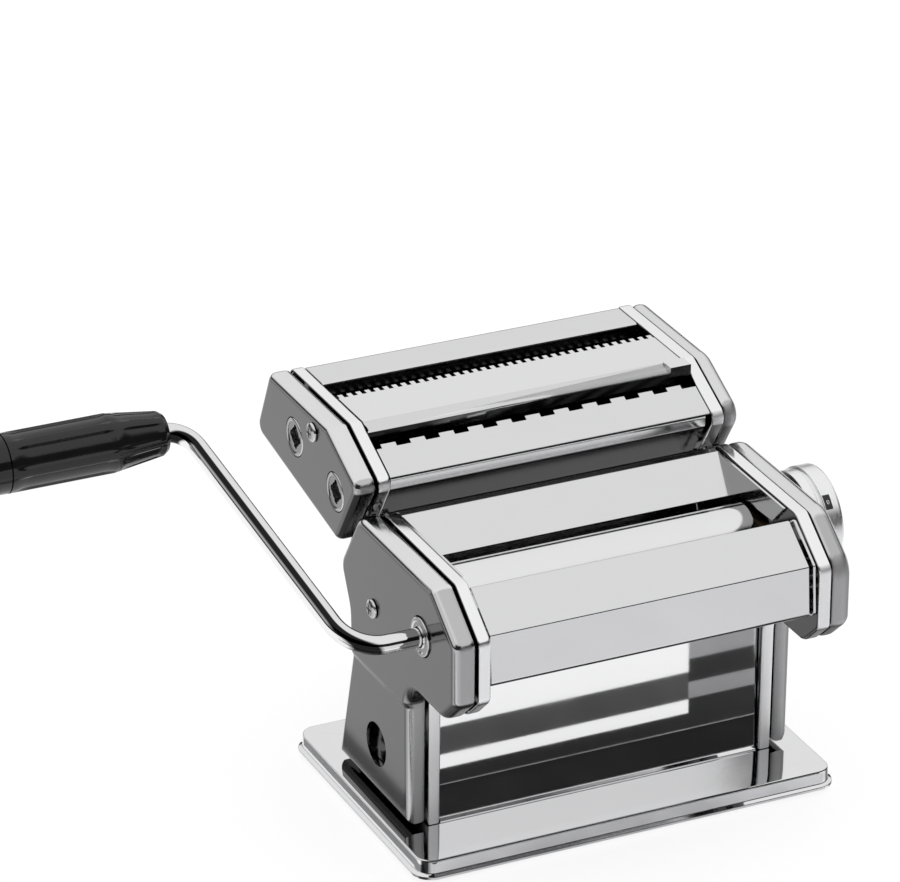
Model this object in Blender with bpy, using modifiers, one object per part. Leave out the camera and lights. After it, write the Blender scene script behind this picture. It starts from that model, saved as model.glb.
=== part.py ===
"""Hand-cranked pasta roller machine with a slide-on cutter head, for Blender 4.5.

All named sizes are in millimetres, measured from the middle of the base plate's footprint on
the floor: +X runs along the rollers to the thickness knob, +Y to the back, +Z up. MM turns
them into metres when an object is made. The empty "machine" carries every piece and places
the world's origin at the bottom centre of the bounding box.
"""

import math

import bmesh
import bpy
from mathutils import Matrix, Vector

MM = 0.001
GAP = 0.3                       # left between pieces that touch on the real machine

# Where the middle of the base plate stands, seen from the bounding box's bottom centre.
MACHINE_SHIFT = (63.75, -14.6)

# Side walls, from the inside out.
HALF_INNER = 73.0               # inner face of a side frame
WEB = 1.2                       # sheet of the side frames
FLANGE_END = 78.5
COVER_RIM = 79.0
COVER_FACE = 89.0
CUTTER_RIGHT_FACE = 86.7        # the cutter's right cover is shallower than the other three
COVER_SHEET = 1.0
COVER_ROUND = 3.9
CUTTER_ROUND = 2.4
SHEET = 0.8                     # panels
PANEL_HALF = HALF_INNER - GAP

# Base plate.
BASE_MIDDLE = (0.5, -1.0)
BASE_HALF_X = 96.0
BASE_HALF_Y = 63.5
BASE_CORNER = 9.0
BASE_BEVEL = 2.6
BASE_SHEET = 1.2
BASE_RIM_LOW = 2.4
DECK = 10.2
FOOT_RADIUS = 6.0
FOOT_X = 80.0
FOOT_Y = 47.0

# Side outline of the main machine as corners (y, z, corner radius), leg front first.
MAIN_CORNERS = (
    (-36.2, 77.6, 12.0),
    (-70.0, 77.6, 9.0),
    (-81.6, 88.6, 5.0),
    (-81.3, 115.2, 4.0),
    (-59.3, 131.2, 4.0),
    (11.0, 131.5, 9.0),
    (28.5, 103.5, 9.0),
    (19.6, 86.0, 14.0),
    (18.6, 68.0, 30.0),
)
LEG_FRONT = -36.2
LEG_BACK = 32.0
FRAME_FOOT = DECK + GAP
COVER_FOOT = 12.6

# Smooth rollers.
ROLLER_Z = 106.1
FRONT_Y = -50.6
REAR_Y = -23.0
ROLLER_RADIUS = 13.1
ROLLER_HALF = 70.0
JOURNAL = 5.0
DRIVE_JOURNAL = 6.0
SHAFT_END = 82.5
SHAFT_PLAY = 0.3
GEAR_TEETH = 11
GEAR_TIP = 14.7
GEAR_ROOT = 11.7
GEAR_IN = 77.0
GEAR_OUT = 82.2

# Crank, rod centre line.
ROD = 4.0
ROD_BORE = 4.4
ROD_TIP = -71.2
SOCKET_BORE_END = -70.6
CRANK_ELBOW_X = -118.6
GRIP_ELBOW = (-147.6, 49.0, 165.2)
ELBOW_BEND = 19.0
GRIP_BEND = 13.0
ROD_GRIP_END = -221.0
GRIP_NECK = -156.4
GRIP_SHOULDER = -181.0
GRIP_SEAM = -225.0
GRIP_END = -234.5
GRIP_RADIUS = 12.2
GRIP_NECK_RADIUS = 9.0

# Rear roller's carriage and its thickness knob.
CARRIAGE_OUT = 1.25             # travel away from the front roller
CARRIAGE_IN = 1.0               # travel towards it
KNOB_TURN_OUT = math.radians(180)
CAM_RISE = CARRIAGE_OUT / KNOB_TURN_OUT
CAM_RADIUS = 8.0
BLOCK_HALF_Y = 11.5
BLOCK_HALF_Z = 8.0
FOLLOWER_RADIUS = 1.2
STEM = 4.0
INDEX_RADIUS = 12.2
INDEX_HOLES = 10
KNOB_RADIUS = 23.0

# Fasteners, tie rods and the clamp hole.
TIE_UPPER = (-5.3, 97.1)
TIE_LOWER = (0.0, 54.0)
TIE_RADIUS = 4.0
TIE_END_RADIUS = 2.5
SCREW_HEAD = 4.2
SCREW_SHANK = 1.8
SCREW_TIP = 81.0
CLAMP_HOLE = (-5.9, 35.0)
CLAMP_RADIUS = 9.5

# Cutter head.
CUTTER_CORNERS = (
    (10.0, 142.8, 5.0),
    (40.5, 157.6, 3.0),
    (99.5, 157.6, 3.0),
    (113.5, 126.0, 6.0),
    (30.3, 110.3, 4.5),
)
WIDE_FRONT = (31.9, 132.6)
FINE_FRONT = (72.3, 139.6)
CUTTER_TILT = math.radians(10.0)
CUTTER_SPACING = 18.0
CUTTER_RADIUS = 9.6
CUTTER_GROOVE = 7.7
CUTTER_JOURNAL = 4.0
CUTTER_HALF = 72.0
WIDE_PITCH = 13.0
WIDE_RING = 6.3
WIDE_FIRST = -67.0              # middle of the first tooth and of the rear roller's first ring
WIDE_COUNT = 11
FINE_PITCH = 4.06
FINE_TOOTH = 2.1
FINE_FIRST = -71.0
FINE_COUNT = 36
FINE_RADIUS = 8.85              # working circle of the finely grooved rollers
CUTTER_GEAR_TEETH = 9
CUTTER_GEAR_TIP = 10.8
CUTTER_GEAR_ROOT = 6.9
CUTTER_TIE = (53.6, 150.0)

# Rails on the main head's rear slope. Along the slope the cutter head slides off.
SLOPE_POINT = Vector((0.0, 19.75, 117.5))
SLOPE_UP = Vector((0.0, -0.53, 0.848)).normalized()
SLOPE_OUT = Vector((0.0, 0.848, 0.53)).normalized()
RAIL_X = 75.8
RAIL_HALF = 9.0

COLOURS = {
    "chrome": ((0.86, 0.86, 0.87, 1.0), 1.0, 0.08),
    "chrome_satin": ((0.62, 0.62, 0.63, 1.0), 1.0, 0.22),
    "roller_steel": ((0.78, 0.78, 0.79, 1.0), 1.0, 0.12),
    "black_steel": ((0.03, 0.03, 0.032, 1.0), 0.6, 0.3),
    "gear_steel": ((0.42, 0.42, 0.44, 1.0), 1.0, 0.35),
    "bush": ((0.55, 0.38, 0.16, 1.0), 1.0, 0.35),
    "black_plastic": ((0.02, 0.02, 0.022, 1.0), 0.0, 0.2),
    "rubber": ((0.03, 0.03, 0.03, 1.0), 0.0, 0.8),
    "spring_steel": ((0.6, 0.6, 0.62, 1.0), 1.0, 0.25),
}


# Scene, materials and objects

def clear_scene():
    for item in list(bpy.data.objects):
        bpy.data.objects.remove(item, do_unlink=True)


def new_collection(name):
    group = bpy.data.collections.new(name)
    bpy.context.scene.collection.children.link(group)
    return group


def material(piece, kind):
    """A Principled material of its own for each piece."""
    colour, metallic, roughness = COLOURS[kind]
    made = bpy.data.materials.new(piece + "_" + kind)
    made.use_nodes = True
    shader = made.node_tree.nodes["Principled BSDF"]
    shader.inputs["Base Color"].default_value = colour
    shader.inputs["Metallic"].default_value = metallic
    shader.inputs["Roughness"].default_value = roughness
    made.diffuse_color = colour
    return made


clear_scene()
PARTS = new_collection("pasta_roller_machine")
CUTTERS = new_collection("cutters")
MACHINE = bpy.data.objects.new("machine", None)
MACHINE.location = (MACHINE_SHIFT[0] * MM, MACHINE_SHIFT[1] * MM, 0.0)
PARTS.objects.link(MACHINE)


def place(name, mesh, group, origin=(0.0, 0.0, 0.0)):
    """An object under the machine empty from a mesh in millimetres, its origin at a joint."""
    mesh.name = name
    mesh.transform(Matrix.Scale(MM, 4) @ Matrix.Translation(-Vector(origin)))
    made = bpy.data.objects.new(name, mesh)
    made.location = Vector(origin) * MM
    made.parent = MACHINE
    group.objects.link(made)
    return made


def piece(name, mesh, kind, origin=(0.0, 0.0, 0.0), smooth=True):
    made = place(name, mesh, PARTS, origin)
    made.data.materials.clear()
    made.data.materials.append(material(name, kind))
    if smooth:
        made.data.shade_smooth()
        made.data.set_sharp_from_angle(angle=math.radians(32))
    return made


def helper(name, mesh):
    """An object that only cuts or joins another."""
    made = place(name, mesh, CUTTERS)
    made.hide_render = True
    made.display_type = "WIRE"
    return made


def combine(target, mesh, name, operation):
    """Leave a live Boolean on the target, with its operand among the cutters."""
    change = target.modifiers.new(name, "BOOLEAN")
    change.operation = operation
    change.solver = "EXACT"
    change.object = helper(target.name + "_" + name, mesh)


def cut(target, mesh, name):
    combine(target, mesh, name, "DIFFERENCE")


def join(target, mesh, name):
    combine(target, mesh, name, "UNION")


def evaluated_mesh(item):
    """The mesh of a temporary object with its modifiers applied; the object is removed."""
    bpy.context.scene.collection.objects.link(item)
    graph = bpy.context.evaluated_depsgraph_get()
    mesh = bpy.data.meshes.new_from_object(item.evaluated_get(graph))
    bpy.data.objects.remove(item, do_unlink=True)
    return mesh


def edit(mesh, action):
    """Run one bmesh action on a mesh."""
    work = bmesh.new()
    work.from_mesh(mesh)
    action(work)
    work.to_mesh(mesh)
    work.free()
    return mesh


def weld(mesh):
    """Close the seams of a solid and turn its faces outward."""
    def shape(work):
        bmesh.ops.remove_doubles(work, verts=work.verts, dist=0.01)
        bmesh.ops.recalc_face_normals(work, faces=work.faces)

    return edit(mesh, shape)


# Outlines in the (y, z) plane

def rounded(corners, steps=3):
    """A closed outline whose corners (y, z, radius) become arcs of a few steps."""
    outline = []
    count = len(corners)
    for index, (y, z, radius) in enumerate(corners):
        corner = Vector((y, z))
        if radius == 0:
            outline.append((y, z))
            continue
        before = (Vector(corners[index - 1][:2]) - corner).normalized()
        after = (Vector(corners[(index + 1) % count][:2]) - corner).normalized()
        half = before.angle(after) / 2
        centre = corner + (before + after).normalized() * radius / math.sin(half)
        start = corner + before * radius / math.tan(half) - centre
        sweep = start.angle_signed(corner + after * radius / math.tan(half) - centre)
        for step in range(steps + 1):
            turn = Matrix.Rotation(-sweep * step / steps, 2)
            point = centre + turn @ start
            outline.append((point.x, point.y))
    return outline


def main_outline(foot):
    corners = ((LEG_FRONT, foot, 0.0),) + MAIN_CORNERS + ((LEG_BACK, foot, 0.0),)
    return rounded(corners)


def circle(y, z, radius, steps):
    turn = 2 * math.pi / steps
    return [(y + radius * math.cos(turn * k), z + radius * math.sin(turn * k)) for k in range(steps)]


def bar(y_low, z_low, y_high, z_high):
    return [(y_low, z_low), (y_high, z_low), (y_high, z_high), (y_low, z_high)]


def sheet(points, thickness):
    """The outline of a bent sheet: its outer face and, to the left of travel, its inner one."""
    inner = []
    for index, (y, z) in enumerate(points):
        here = Vector((y, z))
        into = here - Vector(points[index - 1]) if index > 0 else None
        out = Vector(points[index + 1]) - here if index < len(points) - 1 else None
        first = (into or out).normalized()
        second = (out or into).normalized()
        side = Vector((-first.y - second.y, first.x + second.x)).normalized()
        reach = thickness / side.dot(Vector((-first.y, first.x)))
        inner.append(tuple(here + side * reach))
    return list(points) + inner[::-1]


def gear_outline(y, z, teeth, root, tip, turn):
    """Tapered teeth with generous backlash, so that the pair stays in mesh as it opens."""
    pitch = 2 * math.pi / teeth
    outline = []
    for tooth in range(teeth):
        middle = turn + tooth * pitch
        for radius, share in ((root, -0.29), (tip, -0.11), (tip, 0.11), (root, 0.29)):
            angle = middle + share * pitch
            outline.append((y + radius * math.cos(angle), z + radius * math.sin(angle)))
    return outline


# Basic meshes in millimetres

ALONG_X = Matrix(((0, 0, 1, 0), (1, 0, 0, 0), (0, 1, 0, 0), (0, 0, 0, 1)))


def prism(loops, low, high, frame=ALONG_X):
    """Outline and holes, a filled 2D curve, extruded from low to high along the frame's z."""
    curve = bpy.data.curves.new("outline", "CURVE")
    curve.dimensions = "2D"
    curve.fill_mode = "BOTH"
    curve.extrude = (high - low) / 2
    for loop in loops:
        spline = curve.splines.new("POLY")
        spline.points.add(len(loop) - 1)
        for point, (a, b) in zip(spline.points, loop):
            point.co = (a, b, 0.0, 1.0)
        spline.use_cyclic_u = True
    mesh = weld(evaluated_mesh(bpy.data.objects.new("outline", curve)))
    mesh.transform(frame @ Matrix.Translation((0.0, 0.0, (low + high) / 2)))
    return mesh


def box(x, y, z):
    """A block between pairs of limits along each axis."""
    work = bmesh.new()
    bmesh.ops.create_cube(work, size=1.0)
    size = Matrix.Diagonal((x[1] - x[0], y[1] - y[0], z[1] - z[0], 1.0))
    centre = Matrix.Translation(((x[0] + x[1]) / 2, (y[0] + y[1]) / 2, (z[0] + z[1]) / 2))
    bmesh.ops.transform(work, matrix=centre @ size, verts=work.verts)
    mesh = bpy.data.meshes.new("box")
    work.to_mesh(mesh)
    work.free()
    return mesh


def cylinder(radius, low, high, y, z, segments=20):
    work = bmesh.new()
    bmesh.ops.create_cone(work, cap_ends=True, segments=segments, radius1=radius, radius2=radius,
                          depth=high - low)
    across = Matrix.Translation(((low + high) / 2, y, z)) @ Matrix.Rotation(math.pi / 2, 4, "Y")
    bmesh.ops.transform(work, matrix=across, verts=work.verts)
    mesh = bpy.data.meshes.new("cylinder")
    work.to_mesh(mesh)
    work.free()
    return mesh


def turned(profile, y, z, segments=24, closed=False):
    """A Screw modifier's solid about the X line at (y, z). Profile points are (x, radius),
    from the +X end to the -X end on the outer side."""
    mesh = bpy.data.meshes.new("profile")
    points = [(radius, 0.0, x) for x, radius in profile]
    edges = [(k, k + 1) for k in range(len(points) - 1)]
    if closed:
        edges.append((len(points) - 1, 0))
    mesh.from_pydata(points, edges, [])
    holder = bpy.data.objects.new("profile", mesh)
    screw = holder.modifiers.new("turn", "SCREW")
    screw.axis = "Z"
    screw.angle = 2 * math.pi
    screw.steps = segments
    screw.render_steps = segments
    screw.use_merge_vertices = True
    screw.merge_threshold = 0.0001
    solid = weld(evaluated_mesh(holder))
    solid.transform(Matrix.Translation((0.0, y, z)) @ Matrix.Rotation(math.pi / 2, 4, "Y"))
    return solid


def sleeve(low, high, inner, outer, y, z, segments=20):
    profile = [(high, inner), (high, outer), (low, outer), (low, inner)]
    return turned(profile, y, z, segments, closed=True)


def tube(points, radius, sides_resolution=2):
    """A round rod along a list of points."""
    curve = bpy.data.curves.new("path", "CURVE")
    curve.dimensions = "3D"
    curve.bevel_depth = radius
    curve.bevel_resolution = sides_resolution
    curve.use_fill_caps = True
    spline = curve.splines.new("POLY")
    spline.points.add(len(points) - 1)
    for point, place_at in zip(spline.points, points):
        point.co = (*place_at, 1.0)
    return weld(evaluated_mesh(bpy.data.objects.new("path", curve)))


def bend(before, corner, after, radius, steps):
    """Points of the arc that rounds a corner of a rod."""
    corner = Vector(corner)
    back = (Vector(before) - corner).normalized()
    on = (Vector(after) - corner).normalized()
    half = back.angle(on) / 2
    centre = corner + (back + on).normalized() * radius / math.sin(half)
    start = corner + back * radius / math.tan(half) - centre
    end = corner + on * radius / math.tan(half) - centre
    axis = start.cross(end).normalized()
    sweep = start.angle(end)
    arc = [Matrix.Rotation(sweep * k / steps, 3, axis) @ start for k in range(steps + 1)]
    return [tuple(centre + arm) for arm in arc]


def spans(side, near, far):
    """X limits of something on one side, -1 left or +1 right, given from the inside out."""
    return (near, far) if side > 0 else (-far, -near)


# Shells

def open_tray(loop, side, near, far, rounding=0.0):
    """A prism without the cap at its open end, ready for Solidify. Frames open outward,
    covers inward; rounding bevels the closed face's edge."""
    low, high = spans(side, min(near, far), max(near, far))
    mesh = prism([loop], low, high)
    closed_x = side * near
    open_x = side * far

    def shape(work):
        bmesh.ops.dissolve_limit(work, angle_limit=math.radians(0.5), verts=work.verts,
                                 edges=work.edges)
        lids = [f for f in work.faces if all(abs(v.co.x - open_x) < 0.01 for v in f.verts)]
        bmesh.ops.delete(work, geom=lids, context="FACES")
        if rounding:
            rim = [e for e in work.edges if len(e.link_faces) == 2
                   and all(abs(v.co.x - closed_x) < 0.01 for v in e.verts)]
            bmesh.ops.bevel(work, geom=rim, offset=rounding, offset_type="OFFSET", segments=2,
                            profile=0.5, affect="EDGES", clamp_overlap=True)

    return edit(mesh, shape)


def thicken(item, thickness):
    shell = item.modifiers.new("sheet", "SOLIDIFY")
    shell.thickness = thickness * MM
    shell.offset = -1.0
    shell.use_even_offset = True


# Base

def base_outline():
    (x, y), r = BASE_MIDDLE, BASE_CORNER
    signs = ((-1, -1), (1, -1), (1, 1), (-1, 1))
    corners = [(x + a * BASE_HALF_X, y + b * BASE_HALF_Y, r) for a, b in signs]
    return rounded(corners, steps=4)


def build_base():
    mesh = prism([base_outline()], BASE_RIM_LOW, DECK, frame=Matrix.Identity(4))

    def shape(work):
        bmesh.ops.dissolve_limit(work, angle_limit=math.radians(0.5), verts=work.verts,
                                 edges=work.edges)
        lids = [f for f in work.faces if all(v.co.z < BASE_RIM_LOW + 0.01 for v in f.verts)]
        bmesh.ops.delete(work, geom=lids, context="FACES")
        rim = [e for e in work.edges if len(e.link_faces) == 2
               and all(v.co.z > DECK - 0.01 for v in e.verts)]
        bmesh.ops.bevel(work, geom=rim, offset=BASE_BEVEL, offset_type="OFFSET", segments=2,
                        profile=0.5, affect="EDGES", clamp_overlap=True)

    base = piece("base_plate", edit(mesh, shape), "chrome")
    thicken(base, BASE_SHEET)
    for along, x in (("left", -FOOT_X), ("right", FOOT_X)):
        for depth, y in (("front", -FOOT_Y), ("back", FOOT_Y)):
            foot = prism([circle(x, y, FOOT_RADIUS, 16)], 0.0, DECK - BASE_SHEET - GAP,
                         frame=Matrix.Identity(4))
            piece("foot_" + depth + "_" + along, foot, "rubber")


# Side frames and covers

def carriage_slot():
    y_low = REAR_Y - BLOCK_HALF_Y - CARRIAGE_IN - GAP
    y_high = REAR_Y + BLOCK_HALF_Y + CARRIAGE_OUT + GAP
    return bar(y_low, ROLLER_Z - BLOCK_HALF_Z - GAP, y_high, ROLLER_Z + BLOCK_HALF_Z + GAP)


def build_side_frame(name, side):
    tray = open_tray(main_outline(FRAME_FOOT), side, HALF_INNER, FLANGE_END)
    frame = piece(name, tray, "chrome")
    thicken(frame, WEB)
    low, high = spans(side, HALF_INNER - 2, HALF_INNER + WEB + 2)
    cut(frame, cylinder(7.3, low, high, FRONT_Y, ROLLER_Z), "front_bush_hole")
    cut(frame, prism([carriage_slot()], low, high), "carriage_slot")
    for label, (y, z) in (("upper_tie_hole", TIE_UPPER), ("lower_tie_hole", TIE_LOWER)):
        cut(frame, cylinder(TIE_END_RADIUS + GAP, low, high, y, z, 12), label)
    if side < 0:
        cut(frame, cylinder(CLAMP_RADIUS, low, high, *CLAMP_HOLE), "clamp_hole")


def build_cover(name, side, holes, outline, rounding, face=COVER_FACE):
    tray = open_tray(outline, side, face, COVER_RIM, rounding)
    cover = piece(name, tray, "chrome_satin")
    thicken(cover, COVER_SHEET)
    low, high = spans(side, face - 3, face + 3)
    for label, y, z, radius in holes:
        cut(cover, cylinder(radius, low, high, y, z), label)


def build_sides():
    build_side_frame("left_side_frame", -1)
    build_side_frame("right_side_frame", 1)
    screw_hole = ("screw_hole", *TIE_UPPER, SCREW_SHANK + GAP)
    left = (("crank_hole", FRONT_Y, ROLLER_Z, 8.7), screw_hole,
            ("clamp_hole", *CLAMP_HOLE, CLAMP_RADIUS))
    right = (("stem_hole", REAR_Y, ROLLER_Z, STEM + SHAFT_PLAY), screw_hole)
    build_cover("left_cover", -1, left, main_outline(COVER_FOOT), COVER_ROUND)
    build_cover("right_cover", 1, right, main_outline(COVER_FOOT), COVER_ROUND)


# Panels and hopper

def build_panels():
    front = sheet([(-58.6, 127.4), (-61.4, 129.2), (-78.9, 116.4), (-80.9, 94.2), (-71.5, 92.6)],
                  SHEET)
    leg = sheet([(-31.0, 88.0), (-31.4, 15.4), (-36.0, 10.8)][::-1], -SHEET)
    rear = sheet([(8.2, 130.9), (12.4, 129.0), (27.2, 103.8), (18.9, 86.4), (17.9, 68.0),
                  (30.6, 11.0)], -SHEET)
    for name, outline in (("front_panel", front), ("leg_panel", leg), ("rear_panel", rear)):
        piece(name, prism([outline], -PANEL_HALF, PANEL_HALF), "chrome")


def build_hopper():
    plate = sheet([(7.4, 130.9), (4.6, 130.7), (-14.6, 120.0)], 0.9)
    hopper = piece("hopper", prism([plate], -72.0, 72.0), "chrome")
    wing = [(5.6, 130.4), (-14.2, 119.2), (-43.5, 120.6), (-52.5, 130.2)]
    for label, side in (("left_wing", -1), ("right_wing", 1)):
        join(hopper, prism([wing], *spans(side, 71.5, 72.6)), label)


# Smooth rollers, gears, bearings and scrapers

def build_rollers():
    left = [(ROLLER_HALF, JOURNAL), (ROLLER_HALF, ROLLER_RADIUS), (-ROLLER_HALF, ROLLER_RADIUS)]
    right_end = [(77.0, 0.0), (77.0, JOURNAL)]
    front = right_end + left + [(-ROLLER_HALF, DRIVE_JOURNAL), (-SHAFT_END, DRIVE_JOURNAL),
                                (-SHAFT_END, ROD_BORE), (SOCKET_BORE_END, ROD_BORE),
                                (SOCKET_BORE_END, 0.0)]
    rear = right_end + left + [(-ROLLER_HALF, JOURNAL), (-SHAFT_END, JOURNAL), (-SHAFT_END, 0.0)]
    origin_front = (0.0, FRONT_Y, ROLLER_Z)
    origin_rear = (0.0, REAR_Y, ROLLER_Z)
    piece("front_roller", turned(front, FRONT_Y, ROLLER_Z, 32), "roller_steel", origin_front)
    piece("rear_roller", turned(rear, REAR_Y, ROLLER_Z, 32), "roller_steel", origin_rear)
    half_tooth = math.pi / GEAR_TEETH
    gears = (("front_roller_gear", FRONT_Y, DRIVE_JOURNAL, 0.0, origin_front),
             ("rear_roller_gear", REAR_Y, JOURNAL, math.pi + half_tooth, origin_rear))
    for name, y, shaft, turn, origin in gears:
        loops = [gear_outline(y, ROLLER_Z, GEAR_TEETH, GEAR_ROOT, GEAR_TIP, turn),
                 circle(y, ROLLER_Z, shaft + GAP, 16)]
        piece(name, prism(loops, -GEAR_OUT, -GEAR_IN), "gear_steel", origin)


def build_bearings():
    shafts = {-1: DRIVE_JOURNAL, 1: JOURNAL}
    for label, side in (("left", -1), ("right", 1)):
        inner = shafts[side] + SHAFT_PLAY
        near, far = spans(side, 71.0, 75.2)
        bush = sleeve(near, far, inner, 7.0, FRONT_Y, ROLLER_Z)
        piece("front_bush_" + label, bush, "bush")
        block = [bar(REAR_Y - BLOCK_HALF_Y, ROLLER_Z - BLOCK_HALF_Z, REAR_Y + BLOCK_HALF_Y,
                     ROLLER_Z + BLOCK_HALF_Z), circle(REAR_Y, ROLLER_Z, JOURNAL + SHAFT_PLAY, 20)]
        bearing = piece("rear_bearing_" + label, prism(block, near, far), "bush",
                        (0.0, REAR_Y, ROLLER_Z))
        if side > 0:
            follower_y = REAR_Y - CAM_RADIUS - GAP - FOLLOWER_RADIUS
            follower = cylinder(FOLLOWER_RADIUS, 74.8, 80.6, follower_y, ROLLER_Z, 10)
            join(bearing, follower, "cam_follower")


def build_scrapers():
    front = sheet([(-70.5, 90.8), (-54.5, 92.6)], -SHEET)
    rear = sheet([(-7.0, 90.8), (-19.3, 92.4)], SHEET)
    for name, outline in (("front_scraper", front), ("rear_scraper", rear)):
        piece(name, prism([outline], -PANEL_HALF, PANEL_HALF), "spring_steel")


def build_tie_rods():
    for name, (y, z) in (("upper_tie_rod", TIE_UPPER), ("lower_tie_rod", TIE_LOWER)):
        half = [(79.5, 0.0), (79.5, TIE_END_RADIUS), (PANEL_HALF, TIE_END_RADIUS),
                (PANEL_HALF, TIE_RADIUS)]
        profile = half + [(-x, radius) for x, radius in reversed(half)]
        piece(name, turned(profile, y, z, 12), "gear_steel")


def screw_profile(side, cover_face):
    """Pan head on a cover and its shank, ordered from +X to -X."""
    face = cover_face + GAP
    profile = [(face + 1.6, 0.0), (face + 1.6, 1.8), (face + 1.0, 3.6), (face, SCREW_HEAD),
               (face, SCREW_SHANK), (SCREW_TIP, SCREW_SHANK), (SCREW_TIP, 0.0)]
    return profile if side > 0 else [(-x, radius) for x, radius in reversed(profile)]


def build_screws():
    places = (("cover_screw", TIE_UPPER, COVER_FACE), ("cutter_screw", CUTTER_TIE,
                                                        CUTTER_RIGHT_FACE))
    for label, side in (("left_", -1), ("right_", 1)):
        for name, (y, z), right_face in places:
            profile = screw_profile(side, right_face if side > 0 else COVER_FACE)
            piece(label + name, turned(profile, y, z, 12), "chrome")


# Crank

def crank_path():
    start = (ROD_TIP, FRONT_Y, ROLLER_Z)
    elbow = (CRANK_ELBOW_X, FRONT_Y, ROLLER_Z)
    end = (ROD_GRIP_END, GRIP_ELBOW[1], GRIP_ELBOW[2])
    first = bend(start, elbow, GRIP_ELBOW, ELBOW_BEND, 6)
    second = bend(elbow, GRIP_ELBOW, end, GRIP_BEND, 6)
    return [start] + first + second + [end]


def build_crank():
    socket = [(-83.0, ROD_BORE), (-83.0, 8.2), (-89.8, 8.2), (-90.6, 7.4), (-90.6, ROD_BORE)]
    piece("crank_socket", turned(socket, FRONT_Y, ROLLER_Z, 24, closed=True), "chrome",
          (0.0, FRONT_Y, ROLLER_Z))
    piece("crank_rod", tube(crank_path(), ROD, 3), "chrome", (0.0, FRONT_Y, ROLLER_Z))
    y, z = GRIP_ELBOW[1:]
    bore = ROD + GAP
    grip = [(GRIP_NECK, bore), (GRIP_NECK, 7.4), (GRIP_NECK - 2.2, GRIP_NECK_RADIUS),
            (GRIP_SHOULDER, GRIP_RADIUS), (GRIP_SEAM + 0.2, GRIP_RADIUS), (GRIP_SEAM + 0.2, bore)]
    piece("crank_grip", turned(grip, y, z, 20, closed=True), "black_plastic", (0.0, y, z))
    cap = [(GRIP_SEAM - 0.1, 0.0), (GRIP_SEAM - 0.1, GRIP_RADIUS - 0.2),
           (GRIP_END + 3.0, GRIP_RADIUS - 0.5), (GRIP_END + 0.6, GRIP_RADIUS - 3.0),
           (GRIP_END, 6.0), (GRIP_END, 0.0)]
    piece("grip_end_cap", turned(cap, y, z, 20), "black_plastic", (0.0, y, z))


# Thickness knob

def cam_outline():
    """A scroll: its radius towards the follower falls as the knob turns to open the rollers."""
    steps = 30
    outline = []
    for step in range(steps + 1):
        angle = -math.radians(180) + step * math.radians(324) / steps
        radius = CAM_RADIUS + CAM_RISE * angle
        outline.append((REAR_Y - radius * math.cos(angle), ROLLER_Z - radius * math.sin(angle)))
    return outline


def build_knob():
    origin = (0.0, REAR_Y, ROLLER_Z)
    profile = [(102.6, 0.0), (102.6, 5.9), (101.2, 5.9), (101.2, STEM), (77.4, STEM), (77.4, 0.0)]
    stem = piece("knob_stem", turned(profile, REAR_Y, ROLLER_Z, 16), "spring_steel", origin)
    join(stem, prism([cam_outline()], 77.7, 80.9), "scroll_cam")
    plate_loops = [circle(REAR_Y, ROLLER_Z, 15.0, 24), circle(REAR_Y, ROLLER_Z, 6.4, 16)]
    for step in range(INDEX_HOLES):
        angle = 2 * math.pi * step / INDEX_HOLES
        plate_loops.append(circle(REAR_Y + INDEX_RADIUS * math.cos(angle),
                                  ROLLER_Z + INDEX_RADIUS * math.sin(angle), 1.3, 8))
    piece("index_plate", prism(plate_loops, COVER_FACE + GAP, 90.7), "gear_steel")
    knob = [(107.0, 0.0), (107.0, 13.0), (106.2, 19.5), (105.0, 22.2), (103.8, KNOB_RADIUS),
            (97.4, KNOB_RADIUS), (96.8, 21.6), (95.8, 21.6), (95.2, 22.2), (91.3, 22.0),
            (91.3, 19.5), (93.4, 19.5), (93.4, STEM + 0.4), (95.2, STEM + 0.4), (95.2, 9.0),
            (103.2, 9.0), (103.2, 0.0)]
    piece("thickness_knob", turned(knob, REAR_Y, ROLLER_Z, 32), "chrome", origin)
    pin = cylinder(1.0, 91.0, 93.1, REAR_Y + INDEX_RADIUS, ROLLER_Z, 8)
    piece("index_pin", pin, "spring_steel", origin)
    coils = 4
    steps = coils * 9
    wire = []
    for step in range(steps + 1):
        angle = 2 * math.pi * step / 9
        wire.append((96.0 + 4.5 * step / steps, REAR_Y + 6.9 * math.cos(angle),
                     ROLLER_Z + 6.9 * math.sin(angle)))
    piece("knob_spring", tube(wire, 0.4, 1), "spring_steel", origin)


# Rails that hold the cutter head

def slope_frame(side):
    """Local axes: across the machine, out of the slope, up along the slope."""
    across = Vector((1.0, 0.0, 0.0))
    origin = SLOPE_POINT + across * side * RAIL_X
    rows = [[across[k], SLOPE_OUT[k], SLOPE_UP[k], origin[k]] for k in range(3)]
    return Matrix(rows + [[0.0, 0.0, 0.0, 1.0]])


def build_rails():
    rail = [(-4.2, 0.3), (4.2, 0.3), (4.2, 4.5), (1.6, 4.5), (1.6, 3.5), (3.2, 3.5), (3.2, 1.3),
            (-3.2, 1.3), (-3.2, 3.5), (-1.6, 3.5), (-1.6, 4.5), (-4.2, 4.5)]
    for label, side in (("left", -1), ("right", 1)):
        mesh = prism([rail], -RAIL_HALF, RAIL_HALF, slope_frame(side))
        piece(label + "_cutter_rail", mesh, "chrome")


def tongue(side):
    """The T-shaped slider on a cutter frame that runs in the main machine's rail."""
    outline = [(-2.8, 1.7), (2.8, 1.7), (2.8, 3.0), (1.2, 3.0), (1.2, 5.9), (-1.2, 5.9),
               (-1.2, 3.0), (-2.8, 3.0)]
    return prism([outline], 1.0 - RAIL_HALF, RAIL_HALF - 1.0, slope_frame(side))


# Cutter head

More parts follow.
